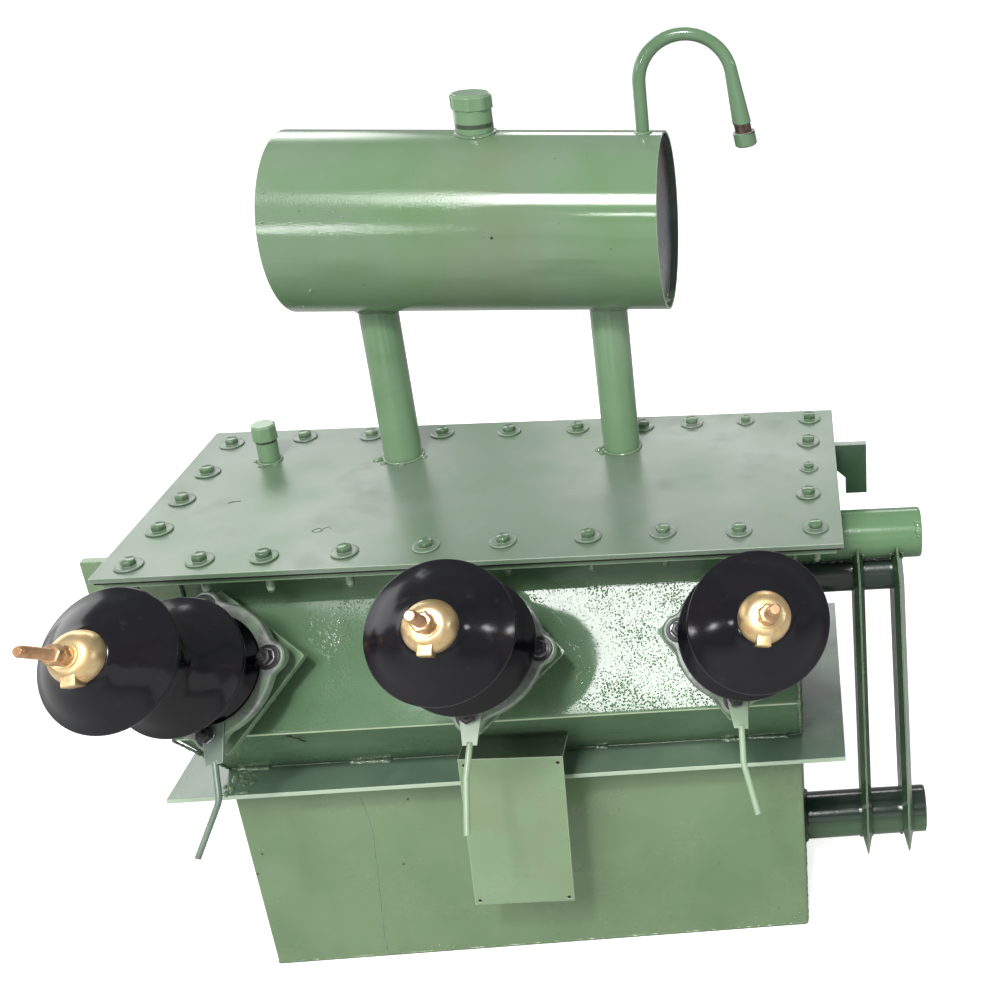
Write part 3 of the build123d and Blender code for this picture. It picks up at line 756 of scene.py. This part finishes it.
def make_brass_cap():
    """The dome, its skirt and the square lug cast on its lower side."""
    outline = [(DOME_RADIUS - 0.0008, CROWN_HEIGHT), (DOME_RADIUS, CROWN_HEIGHT + 0.0008)]
    outline.append((DOME_RADIUS, CROWN_HEIGHT + DOME_SKIRT))
    for step in range(1, 11):
        turn = math.pi / 2 * step / 10
        radius = DOME_TOP_RADIUS + (DOME_RADIUS - DOME_TOP_RADIUS) * math.cos(turn)
        rise = DOME_SKIRT + (DOME_HEIGHT - DOME_SKIRT) * math.sin(turn)
        outline.append((radius, CROWN_HEIGHT + rise))
    dome = lathe("dome", outline, 64)
    deselect()
    middle = CROWN_HEIGHT + DOME_HEIGHT / 2
    bpy.ops.mesh.primitive_cube_add(size=1, location=(0, -LUG_REACH / 2 - LUG_START / 2, middle))
    lug = bpy.context.object
    lug.scale = (LUG_SIDE, LUG_REACH - LUG_START, LUG_HEIGHT)
    apply_place()
    soften(lug, 0.0014, 3)
    piece = join([dome, lug], "brass_cap")
    paint_on(piece, BRASS, 40)
    return piece


def make_terminal():
    """Washer, two nuts and the threaded stud above the dome."""
    base = CROWN_HEIGHT + DOME_HEIGHT - 0.0005
    washer = disc("washer", TERMINAL_WASHER_RADIUS, TERMINAL_WASHER)
    place(washer, up(base))
    lower = hexagon("lower_nut", TERMINAL_NUT_FLATS, TERMINAL_NUT)
    upper_place = up(base + TERMINAL_WASHER + TERMINAL_NUT)
    upper = twin(lower, upper_place @ spun(TERMINAL_NUT_TURN))
    place(lower, up(base + TERMINAL_WASHER))
    rod = threaded_rod("stud", STUD_RADIUS, base + 2 * TERMINAL_NUT, STUD_TIP)
    for part, material in ((washer, BRASS), (lower, STUD_BRASS), (upper, STUD_BRASS), (rod, STUD_BRASS)):
        paint_on(part, material, 35)
    return join([washer, lower, upper, rod], "terminal")


def make_clamp_nut():
    """Washer, spring washer, nut and stud on one lobe of a clamp ring, down to the seat."""
    washer = disc("washer", CLAMP_WASHER_RADIUS, CLAMP_WASHER)
    spring = disc("spring", SPRING_RADIUS, SPRING)
    place(spring, up(CLAMP_WASHER))
    nut = hexagon("nut", CLAMP_NUT_FLATS, CLAMP_NUT)
    place(nut, up(CLAMP_NUT_SEAT))
    tip = threaded_rod("tip", CLAMP_STUD_RADIUS, *CLAMP_STUD_TIP, 20)
    shank = disc("shank", CLAMP_STUD_RADIUS, SEAT_GAP - RING_THICKNESS + 0.006)
    place(shank, up(-SEAT_GAP - 0.003))
    for part in (washer, nut, tip):
        paint_on(part, BLACK_STEEL, 35)
    for part in (spring, shank):
        paint_on(part, GREY_STEEL, 35)
    return join([washer, spring, nut, tip, shank], "clamp_nut")


def build_bushings():
    porcelain = make_porcelain()
    cap = make_brass_cap()
    terminal = make_terminal()
    nut = make_clamp_nut()
    for side in RING_TURN:
        base = bushing_frame(side)
        piece = twin(porcelain, base)
        piece.name = "porcelain_" + side
        done(piece, ["hv_porcelain_" + side])
        piece = twin(cap, base)
        piece.name = "brass_cap_" + side
        done(piece, ["hv_cap_" + side])
        piece = twin(terminal, base @ spun(chance.uniform(0, 1)))
        piece.name = "terminal_" + side
        done(piece, ["hv_stud_" + side])
        nuts = []
        for quarter in range(4):
            spin = spun(quarter * math.pi / 2)
            twist = spun(chance.uniform(0, 1))
            nuts.append(twin(nut, base @ spin @ Matrix.Translation((LOBE_RADIUS, 0, 0)) @ twist))
        done(join(nuts, "clamp_nuts_" + side))
    for pattern in (porcelain, cap, terminal, nut):
        remove(pattern)


# Cover bolts


def build_cover_bolts():
    washer = disc("washer", BOLT_WASHER_RADIUS, BOLT_WASHER, 0.0011)
    head = hexagon("head", BOLT_FLATS, BOLT_HEAD, corner=0.0007)
    place(head, up(BOLT_WASHER * 0.9))
    paint_on(washer, COVER, 40)
    paint_on(head, BOLT, 40)
    pattern = join([washer, head], "bolt")
    tip = threaded_rod("tip", BOLT_RADIUS, -BOLT_TIP_DROP, 0.002, 20)
    place(tip, Matrix.Rotation(math.pi, 4, "X") @ up(BOLT_TIP_DROP))
    paint_on(tip, EDGE, 35)
    heads, tips = [], []
    for x, y in FRONT_ROW + BACK_ROW + SIDE_ROWS:
        lean = Matrix.Rotation(chance.uniform(-BOLT_LEAN, BOLT_LEAN), 4, "X")
        turn = spun(chance.uniform(0, 1.05))
        size = Matrix.Scale(SMALL_BOLT_SHARE if (x, y) in SMALL_BOLTS else 1.0, 4)
        heads.append(twin(pattern, Matrix.Translation((x, y, COVER_TOP - 0.0003)) @ lean @ turn @ size))
        raised = chance.uniform(-0.002, 0.003)
        tips.append(twin(tip, Matrix.Translation((x, y, FLANGE_BOTTOM + raised + 0.002))))
    done(join(heads, "cover_bolt_heads"))
    done(join(tips, "cover_bolt_tips"))
    remove(pattern)
    remove(tip)


# Welds: where drops and repairs were left, each with its size; turns are in radians on the
# thermometer's pipe and in degrees on the header

LEG_DROPS = [(-0.181, 0.071, 0.006), (-0.172, 0.059, 0.004), (-0.146, 0.053, 0.004),
             (0.108, 0.076, 0.006), (0.112, 0.066, 0.005), (-0.123, 0.074, 0.004)]
SEAM_REPAIRS = [(-0.214, -0.167, 0.0042), (0.098, 0.109, 0.0034), (0.262, 0.284, 0.0040),
                (0.296, 0.345, 0.0032), (-0.352, -0.318, 0.0036)]
POCKET_DROPS = [(0.3645, -0.2185, 0.484, 0.0030), (0.3645, -0.229, 0.473, 0.0036),
                (0.3645, -0.222, 0.461, 0.0040), (0.3645, -0.213, 0.450, 0.0030)]
WALL_DROPS = [(-0.169, 0.013, 0.0022), (-0.160, 0.010, 0.0016), (-0.149, 0.013, 0.0018),
              (-0.140, 0.009, 0.0014), (-0.109, 0.006, 0.0018), (-0.131, 0.007, 0.0020),
              (0.328, 0.026, 0.0020), (0.353, 0.022, 0.0026), (0.346, 0.014, 0.0018),
              (-0.207, 0.005, 0.0022), (-0.221, 0.004, 0.0024)]
HEADER_DROPS = [(28, 0.0046), (36, 0.0038), (46, 0.0050), (55, 0.0034), (20, 0.0030)]
THERMOMETER_TURNS = [2.2, 3.3, 4.4, 5.4]
SPATTER_COUNT = 34

# Radius of each weld's run, and the level of the one at the floor
BEADS = {"foot": 0.0028, "head": 0.0030, "pocket_foot": 0.0026, "filler_foot": 0.0030,
         "breather_foot": 0.0026, "rim": 0.0018, "pocket_seam": 0.0010, "pocket_end": 0.0017,
         "back_corner": 0.0014, "upper_seam": 0.0030, "ledge_seam": 0.0022, "foot_seam": 0.0018,
         "wall_ring": 0.0035, "end_ring": 0.0016, "fin_ring": 0.0022, "under_run": 0.0034,
         "turret": 0.0034, "lug_root": 0.0030}
FLOOR_BEAD_LEVEL = 0.0027


def walk(points, step):
    """Points at even steps along straight runs."""
    route = [Vector(points[0])]
    for start, end in zip(points, points[1:]):
        start, end = Vector(start), Vector(end)
        count = max(1, round((end - start).length / step))
        for number in range(1, count + 1):
            route.append(start.lerp(end, number / count))
    return route


def ring(centre, normal, radius, start=0.0, end=360.0, step=0.003):
    """Points on a circle about an axis, or on part of it, in degrees."""
    normal = Vector(normal).normalized()
    first = normal.orthogonal().normalized()
    if abs(normal.x) > 0.9:
        first = Vector((0, -1, 0))
    second = normal.cross(first)
    count = max(6, round(math.radians(end - start) * radius / step))
    route = []
    for number in range(count + 1):
        turn = math.radians(start + (end - start) * number / count)
        route.append(Vector(centre) + (first * math.cos(turn) + second * math.sin(turn)) * radius)
    return route[:-1] if end - start == 360.0 else route


def bead(name, route, radius, closed=False, sides=2, wander=0.22):
    """A hand-laid weld: a round run in overlapping drops along a route."""
    deselect()
    curve = bpy.data.curves.new(name, "CURVE")
    curve.dimensions = "3D"
    line = curve.splines.new("POLY")
    line.points.add(len(route) - 1)
    for number, (point, spot) in enumerate(zip(line.points, route)):
        point.co = (*spot, 1)
        point.radius = 1 + 0.14 * math.sin(number * 2.1) + chance.uniform(-wander, wander)
    line.use_cyclic_u = closed
    curve.bevel_depth = radius
    curve.bevel_resolution = sides
    curve.use_fill_caps = not closed
    piece = in_scene(name, curve)
    only(piece)
    bpy.ops.object.convert(target="MESH")
    piece = bpy.context.object
    turn_out(piece)
    return piece


def lay(beads, name, route, closed=False, sides=2):
    """Adds a bead, as thick as BEADS says for its name."""
    beads.append(bead(name, route, BEADS[name], closed, sides))


def lumpy(piece, size, strength):
    """Makes a smooth bead or drop uneven."""
    cloud = bpy.data.textures.new("lumps", "CLOUDS")
    cloud.noise_scale = size
    uneven = piece.modifiers.new("lumps", "DISPLACE")
    uneven.texture = cloud
    uneven.texture_coords = "GLOBAL"
    uneven.strength = strength
    uneven.mid_level = 0.5
    apply_modifiers(piece)


def drop(spot, normal, size, flat=0.5):
    """One drop of weld metal or paint on a surface."""
    deselect()
    bpy.ops.mesh.primitive_ico_sphere_add(subdivisions=3, radius=1)
    piece = bpy.context.object
    spread = chance.uniform(0.8, 1.3)
    turn = Vector(normal).to_track_quat("Z", "Y").to_matrix().to_4x4()
    spin = spun(chance.uniform(0, 3))
    shape = Matrix.Diagonal((size * spread, size / spread, size * flat, 1))
    place(piece, Matrix.Translation(spot) @ turn @ spin @ shape)
    return piece


def weld(name, pieces, material=None, size=0.004, strength=0.0012):
    """Joins beads and drops into one uneven weld."""
    piece = join(pieces, name)
    lumpy(piece, size, strength)
    paint_on(piece, material or WELD, 60)
    done(piece)
    return piece


def on_drum(x, y, side=1):
    """A point of the drum's surface over or under a place."""
    away = y - DRUM_AXIS_Y - DRUM_TURN * x
    rise = math.sqrt(DRUM_RADIUS ** 2 - away ** 2)
    return Vector((x, y, DRUM_AXIS_Z + DRUM_SLOPE * x + side * rise))


def saddle(x, y, radius, side):
    """Where an upright pipe meets the drum."""
    return [on_drum(spot.x, spot.y, side) for spot in ring((x, y, 0), (0, 0, 1), radius)]


def build_pipe_welds():
    beads = []
    for x, y in LEG_PLACES:
        foot = ring((x, y, COVER_TOP + 0.0002), (0, 0, 1), LEG_RADIUS + 0.0002)
        lay(beads, "foot", foot, True)
        lay(beads, "head", saddle(x, y, LEG_RADIUS + 0.0005, -1), True)
    for x, y, size in LEG_DROPS:
        beads.append(drop((x, y, COVER_TOP), (0, 0, 1), size, 0.6))
    x, y = THERMOMETER
    foot = ring((x, y, COVER_TOP + 0.0002), (0, 0, 1), 0.0134)
    lay(beads, "pocket_foot", foot, True)
    for turn in THERMOMETER_TURNS:
        spot = (x + math.cos(turn) * 0.018, y + math.sin(turn) * 0.018, COVER_TOP)
        beads.append(drop(spot, (0, 0, 1), 0.0036, 0.6))
    weld("leg_welds", beads)
    filler_y = DRUM_AXIS_Y + DRUM_TURN * FILLER_X
    breather_y = DRUM_AXIS_Y + DRUM_TURN * BREATHER_X
    beads = []
    lay(beads, "filler_foot", saddle(FILLER_X, filler_y, 0.0230, 1), True)
    foot = saddle(BREATHER_X, breather_y, 0.0085, 1)
    lay(beads, "breather_foot", foot, True)
    weld("drum_welds", beads)


def build_drum_rims():
    """The run of weld inside each end of the drum."""
    beads = []
    along = Vector((1, DRUM_TURN, DRUM_SLOPE)).normalized()
    for end, inwards in zip(DRUM_ENDS, (1, -1)):
        rim = Vector((end, DRUM_AXIS_Y + DRUM_TURN * end, DRUM_AXIS_Z + DRUM_SLOPE * end))
        centre = rim + along * inwards * 0.0085
        run = ring(centre, along, DRUM_RADIUS - 0.004, step=0.004)
        lay(beads, "rim", run, True, 1)
    weld("drum_rim_welds", beads, DRUM, 0.006, 0.0006)


def build_tank_welds():
    beads = []
    seam = [(-WALL_X, POCKET_FOOT_Y, LEDGE_TOP), (WALL_X, POCKET_FOOT_Y, LEDGE_TOP)]
    lay(beads, "pocket_seam", walk(seam, 0.006), False, 1)
    for start, end, size in SEAM_REPAIRS:
        repair = [(start, POCKET_FOOT_Y - 0.001, LEDGE_TOP), (end, POCKET_FOOT_Y - 0.003, LEDGE_TOP)]
        for spot in walk(repair, size * 0.9):
            beads.append(drop(spot, (0, -0.5, 1), size * chance.uniform(0.9, 1.3), 0.7))
    for _ in range(SPATTER_COUNT):
        x, y = chance.uniform(-0.360, -0.326), chance.uniform(-0.178, -0.132)
        size, flat = chance.uniform(0.0018, 0.0044), chance.uniform(0.3, 0.6)
        beads.append(drop((x, y, LEDGE_TOP - 0.0005), (0, 0, 1), size, flat))
    for side in (-1, 1):
        x = side * WALL_X
        profile = [(x, -WALL_Y, 0.650), (x, -WALL_Y, BEND_Z), (x, LIP[0], LIP[1]),
                   (x, POCKET_FOOT_Y, LEDGE_TOP)]
        lay(beads, "pocket_end", walk(profile, 0.004), False, 1)
        upright = [(x, WALL_Y, FLANGE_BOTTOM), (x, WALL_Y, LEDGE_TOP)]
        lay(beads, "back_corner", walk(upright, 0.006), False, 1)
        foot = [(x, POCKET_FOOT_Y, LEDGE_TOP), (x, WALL_Y, LEDGE_TOP), (0, WALL_Y, LEDGE_TOP)]
        lay(beads, "upper_seam", walk(foot, 0.005), False, 1)
    for x, y, z, size in POCKET_DROPS:
        beads.append(drop((x, y, z), (1, 0, 0), size, 0.7))
    weld("upper_tank_welds", beads)
    beads = []
    under = [(LOWER_LEFT_X, -WALL_Y, LEDGE_BOTTOM), (WALL_X, -WALL_Y, LEDGE_BOTTOM),
             (WALL_X, WALL_Y, LEDGE_BOTTOM), (LOWER_LEFT_X, WALL_Y, LEDGE_BOTTOM),
             (LOWER_LEFT_X, -WALL_Y, LEDGE_BOTTOM)]
    lay(beads, "ledge_seam", walk(under, 0.006), False, 1)
    left, right, front, back = LOWER_LEFT_X + 0.001, WALL_X - 0.001, -WALL_Y + 0.0012, WALL_Y - 0.0012
    corners = [(left, front), (right, front), (right, back), (left, back), (left, front)]
    floor_run = [(x, y, FLOOR_BEAD_LEVEL) for x, y in corners]
    lay(beads, "foot_seam", walk(floor_run, 0.005), False, 1)
    for x, z, size in WALL_DROPS:
        beads.append(drop((x, -WALL_Y, z), (0, -1, 0), size, 0.5))
    weld("lower_tank_welds", beads, TANK, 0.004, 0.0010)


def build_radiator_welds():
    beads = []
    for level, (z, end) in HEADERS.items():
        wall_ring = ring((WALL_X + 0.001, 0, z), (1, 0, 0), HEADER_RADIUS + 0.0005)
        lay(beads, "wall_ring", wall_ring, True)
        end_ring = ring((end - 0.0028, 0, z), (1, 0, 0), HEADER_RADIUS - 0.0018)
        lay(beads, "end_ring", end_ring, True)
        for x in FIN_X[level]:
            for offset in (-FIN_WELD_OFFSET, FIN_WELD_OFFSET):
                fin_ring = ring((x + offset, 0, z), (1, 0, 0), HEADER_RADIUS, 20, 160)
                lay(beads, "fin_ring", fin_ring)
    for turn, size in HEADER_DROPS:
        turn = math.radians(turn)
        z, end = HEADERS["top"]
        reach = HEADER_RADIUS * 0.97
        spot = (end - 0.006, -math.cos(turn) * reach, z + math.sin(turn) * reach)
        beads.append(drop(spot, (0, -math.cos(turn), math.sin(turn)), size, 0.6))
    weld("header_welds", beads, TOP_HEADER)
    runs = []
    for y in (-0.008, 0.008):
        run = [(WALL_X, y, UNDER_PIPE_Z - 0.003), (0.500, y, UNDER_PIPE_Z - 0.003)]
        lay(runs, "under_run", walk(run, 0.004))
    weld("under_pipe_welds", runs, DARK_COAT)


def build_turret_welds():
    """Where each bushing's turret pipe stands on the slanted face."""
    face = Vector((0, LIP[0] + WALL_Y, LIP[1] - BEND_Z)).normalized()
    out = Vector((1, 0, 0)).cross(face)
    out = out if out.y < 0 else -out
    beads = []
    for side in RING_TURN:
        base = bushing_frame(side)
        along = base.col[2].to_3d()
        origin = base.col[3].to_3d()
        route = []
        for number in range(90):
            turn = 2 * math.pi * number / 90
            spoke = base.col[0].to_3d() * math.cos(turn) + base.col[1].to_3d() * math.sin(turn)
            away = spoke * (TURRET_RADIUS + 0.001)
            foot = origin + away
            drop_by = (Vector((0, LIP[0], LIP[1])) - foot).dot(out) / along.dot(out)
            route.append(foot + along * (drop_by + 0.001))
        lay(beads, "turret", route, True)
    weld("turret_welds", beads)


def build_lug_welds():
    beads = []
    for side, y in LUG_PLACES:
        for offset in (-LUG_WELD_OFFSET, LUG_WELD_OFFSET):
            run = [(side * WALL_X, y + offset, 0.588), (side * WALL_X, y + offset, 0.654)]
            lay(beads, "lug_root", walk(run, 0.004))
    weld("lug_welds", beads)


# Chips, scratches and specks: lines and spots on the wall, the pocket, the cover and the drum, and
# painted shade in the bracket's plate holes

PAINT_RUN = [(-0.215, 0.289), (-0.209, 0.257), (-0.2065, 0.226), (-0.211, 0.157), (-0.2155, 0.103),
             (-0.2205, 0.039), (-0.2205, 0.004)]
POCKET_CRACK = [(-0.241, 0.464), (-0.236, 0.461), (-0.237, 0.456), (-0.232, 0.450), (-0.233, 0.444),
                (-0.229, 0.437)]
COVER_SCRATCHES = [([(-0.335, -0.033), (-0.330, -0.030), (-0.321, -0.029)], 0.0009),
                   ([(-0.210, -0.112), (-0.204, -0.117), (-0.197, -0.112), (-0.203, -0.106),
                     (-0.210, -0.112)], 0.0006),
                   ([(-0.198, -0.108), (-0.192, -0.103), (-0.189, -0.108)], 0.0006)]
WALL_CHIPS = [(-0.352, 0.198), (-0.364, 0.164), (-0.153, 0.274), (-0.175, 0.164), (-0.041, 0.285),
              (0.029, 0.330)]
DRUM_CHIP = (0.026, -0.0257, 1.0078)
DRUM_DROPS = [(-0.2305, 0.0005, 1.0605), (-0.198, -0.0010, 1.0590), (-0.197, -0.0055, 0.942),
              (-0.218, 0.0185, 0.9135), (-0.233, -0.0145, 1.030)]
DRUM_CURLS = [([(-0.1645, -0.0120, 1.0398), (-0.156, -0.0136, 1.0365), (-0.147, -0.0144, 1.0350),
                (-0.141, -0.0150, 1.0340)], 0.0011),
              ([(-0.1555, -0.0120, 1.0408), (-0.149, -0.0131, 1.0385), (-0.141, -0.0152, 1.0330)],
               0.0009)]


def scratch(points, width):
    """A fine groove or crack drawn on a surface."""
    return bead("scratch", walk(points, 0.004), width / 2, False, 1, 0.35)


def build_marks():
    dark = []
    wall = -WALL_Y - 0.0001
    seam = scratch([(x, wall, z) for x, z in PAINT_RUN], 0.0012)
    slope = (WALL_Y + LIP[0] - 0.003) / (LIP[1] - LEDGE_TOP)
    crack = [(x, POCKET_FOOT_Y + slope * (z - LEDGE_TOP) - 0.0004, z) for x, z in POCKET_CRACK]
    dark.append(scratch(crack, 0.0018))
    top = COVER_TOP + 0.0001
    for line, width in COVER_SCRATCHES:
        dark.append(scratch([(x, y, top) for x, y in line], width))
    for x, z in WALL_CHIPS:
        dark.append(drop((x, wall, z), (0, -1, 0), 0.0014, 0.2))
    dark.append(drop(DRUM_CHIP, (0, -1, 0.1), 0.0017, 0.2))
    # Dark discs inside the bracket's plate holes: painted shade
    for number in range(1, 5):
        hole = MOUNTS["plate_hole_%d" % number]
        shade = disc("shade", hole["dims"]["r_mm"] / 1000 * 0.98, 0.0008, 0.0001, 24)
        place(shade, Matrix.Translation(Vector(hole["pos_m"])) @ Matrix.Rotation(math.pi / 2, 4, "X"))
        dark.append(shade)
    piece = join(dark, "scratches_chips_and_hole_shade")
    paint_on(piece, CHIP_AND_HOLE_SHADE)
    done(piece)
    pale = []
    for spot in DRUM_DROPS:
        pale.append(drop(spot, (0, -0.8, 0.3), 0.0016, 0.4))
    for line, width in DRUM_CURLS:
        pale.append(scratch(line, width))
    paint_on(seam, WELD, 60)
    done(seam)
    seam.name = "paint_run"
    piece = join(pale, "pale_drops")
    paint_on(piece, PALE_HORN, 60)
    done(piece)


# Stage

FLOOR_LEVEL = -0.0005
ROOM_LIGHT = 0.45
WINDOW_TARGET = (0.10, -0.10, 0.80)


def build_stage():
    deselect()
    bpy.ops.mesh.primitive_plane_add(size=60, location=(0, 0, FLOOR_LEVEL))
    floor = bpy.context.object
    floor.name = "floor"
    g = Graph("pale_floor")
    seen = g.add("ShaderNodeLightPath").outputs["Is Camera Ray"]
    tone = g.between(seen, (0.52, 0.52, 0.51, 1), (0.80, 0.80, 0.80, 1))
    pale = g.finish({"Base Color": tone, "Roughness": 0.9, "Emission Color": (1, 1, 1, 1),
                     "Emission Strength": g.level(seen, 0.0, 0.72)})
    floor.data.materials.append(pale)


def build_world():
    world = bpy.data.worlds.new("studio")
    bpy.context.scene.world = world
    world.use_nodes = True
    nodes, links = world.node_tree.nodes, world.node_tree.links
    back = nodes["Background"]
    back.inputs["Color"].default_value = (0.80, 0.82, 0.82, 1)
    back.inputs["Strength"].default_value = ROOM_LIGHT
    white = nodes.new("ShaderNodeBackground")
    white.inputs["Color"].default_value = (1, 1, 1, 1)
    white.inputs["Strength"].default_value = 1.0
    seen = nodes.new("ShaderNodeLightPath")
    mix = nodes.new("ShaderNodeMixShader")
    links.new(seen.outputs["Is Camera Ray"], mix.inputs["Fac"])
    links.new(back.outputs["Background"], mix.inputs[1])
    links.new(white.outputs["Background"], mix.inputs[2])
    links.new(mix.outputs["Shader"], nodes["World Output"].inputs["Surface"])


def lamp(name, target, azimuth, elevation, distance, size, power):
    """A rectangular lamp seen from a point at an azimuth from the front and an elevation, in degrees."""
    turn, rise = math.radians(azimuth), math.radians(elevation)
    flat = math.cos(rise)
    away = Vector((math.sin(turn) * flat, -math.cos(turn) * flat, math.sin(rise)))
    data = bpy.data.lights.new(name, "AREA")
    data.shape = "RECTANGLE"
    data.size, data.size_y = size
    data.energy = power
    light = in_scene(name, data)
    light.location = Vector(target) + away * distance
    light.rotation_mode = "QUATERNION"
    light.rotation_quaternion = (-away).to_track_quat("-Z", "Y")
    return light


def build_lights():
    lamp("window", WINDOW_TARGET, -11.5, 44.2, 12.0, (3.4, 2.5), 690)
    lamp("window_side", WINDOW_TARGET, -27.5, 44.0, 12.0, (1.6, 1.3), 44)
    lamp("key", (0.0, -0.15, 0.50), -1.0, 52.0, 5.0, (0.35, 0.35), 105)
    lamp("low_window", (-0.20, 0.0, 1.02), -23.5, 7.5, 3.0, (0.34, 0.10), 8)
    lamp("strip", (0.20, 0.0, 1.03), -9.0, 24.5, 3.0, (0.42, 0.07), 3.5)
    lamp("front_fill", (0.0, -0.1, 0.5), 14.0, 12.0, 4.0, (3.8, 1.6), 12)
    lamp("ceiling", (0.0, 0.0, 0.6), 0.0, 88.0, 3.0, (4.0, 3.0), 4)
    lamp("back_wall", (0.0, 0.0, 0.7), 174.0, 25.0, 3.4, (1.9, 0.60), 17)
    lamp("back_left", (-0.20, 0.0, 0.7), 206.0, 29.0, 3.4, (1.2, 1.0), 12)
    lamp("back_corner", (-0.35, 0.0, 0.4), 204.0, 41.0, 3.2, (0.8, 0.8), 6)
    lamp("left_back", (-0.45, -0.35, 0.6), -124.0, 11.0, 3.0, (3.2, 2.0), 32)
    lamp("right_spot", (0.0, -0.40, 0.67), 79.0, 18.0, 3.0, (0.20, 0.34), 5)
    lamp("left_spot", (0.30, -0.40, 0.67), -68.0, 16.0, 3.0, (0.20, 0.34), 5)
    lamp("side_fill", (0.2, 0.0, 0.5), 62.0, 24.0, 3.0, (2.8, 2.8), 2.5)


def build_camera():
    data = bpy.data.cameras.new("view")
    camera = in_scene("view", data)
    turn = spun(CAMERA_YAW) @ Matrix.Rotation(CAMERA_TILT, 4, "X")
    turn = turn @ spun(CAMERA_ROLL)
    camera.matrix_world = Matrix.Translation(CAMERA_PLACE) @ turn
    data.sensor_width = 36
    data.sensor_fit = "AUTO"
    data.lens = CAMERA_LENS
    data.shift_x, data.shift_y = CAMERA_SHIFT
    data.clip_start, data.clip_end = 0.05, 60
    bpy.context.scene.camera = camera


def dress_nodes():
    dress(TANK, "lower_tank", "lifting_lug_left")
    dress(LUG, "lifting_lug_right")
    dress(BRACKET, "plate_bracket")
    dress(UPPER, "upper_tank")
    dress(LEDGE, "ledge_plate")
    dress(EDGE, "tank_flange")
    dress(COVER, "cover_plate")
    dress(RUBBER, "cover_gasket")
    dress(PIPE, "conservator_leg_left", "conservator_leg_right")
    dress(PIPE, "thermometer_cap", "filler_cap", "drain_stub")
    dress(CAPPED, "thermometer_pocket", "filler_neck")
    dress(BREATHER, "breather_pipe", "breather_cap")
    dress(DRUM, "conservator_drum")
    dress(DRUM_END, "conservator_end_left", "conservator_end_right")
    dress(TOP_HEADER, "radiator_header_top")
    dress(DARK_COAT, "radiator_header_bottom")
    dress(FIN, "radiator_fin_inner", "radiator_fin_outer")
    dress(PORCELAIN, "lv_porcelains")
    dress(STUD_BRASS, "lv_studs")
    for side in RING_TURN:
        dress(EDGE, "bushing_seat_" + side)
        dress(CAST, "clamp_ring_" + side)
        dress(PALE_HORN if side == "left" else HORN, "arcing_horn_" + side)


build_camera()
build_world()
build_lights()
build_stage()
dress_nodes()
build_bushings()
build_cover_bolts()
build_pipe_welds()
build_drum_rims()
build_tank_welds()
build_radiator_welds()
build_turret_welds()
build_lug_welds()
build_marks()

bpy.context.scene.view_settings.view_transform = "Standard"
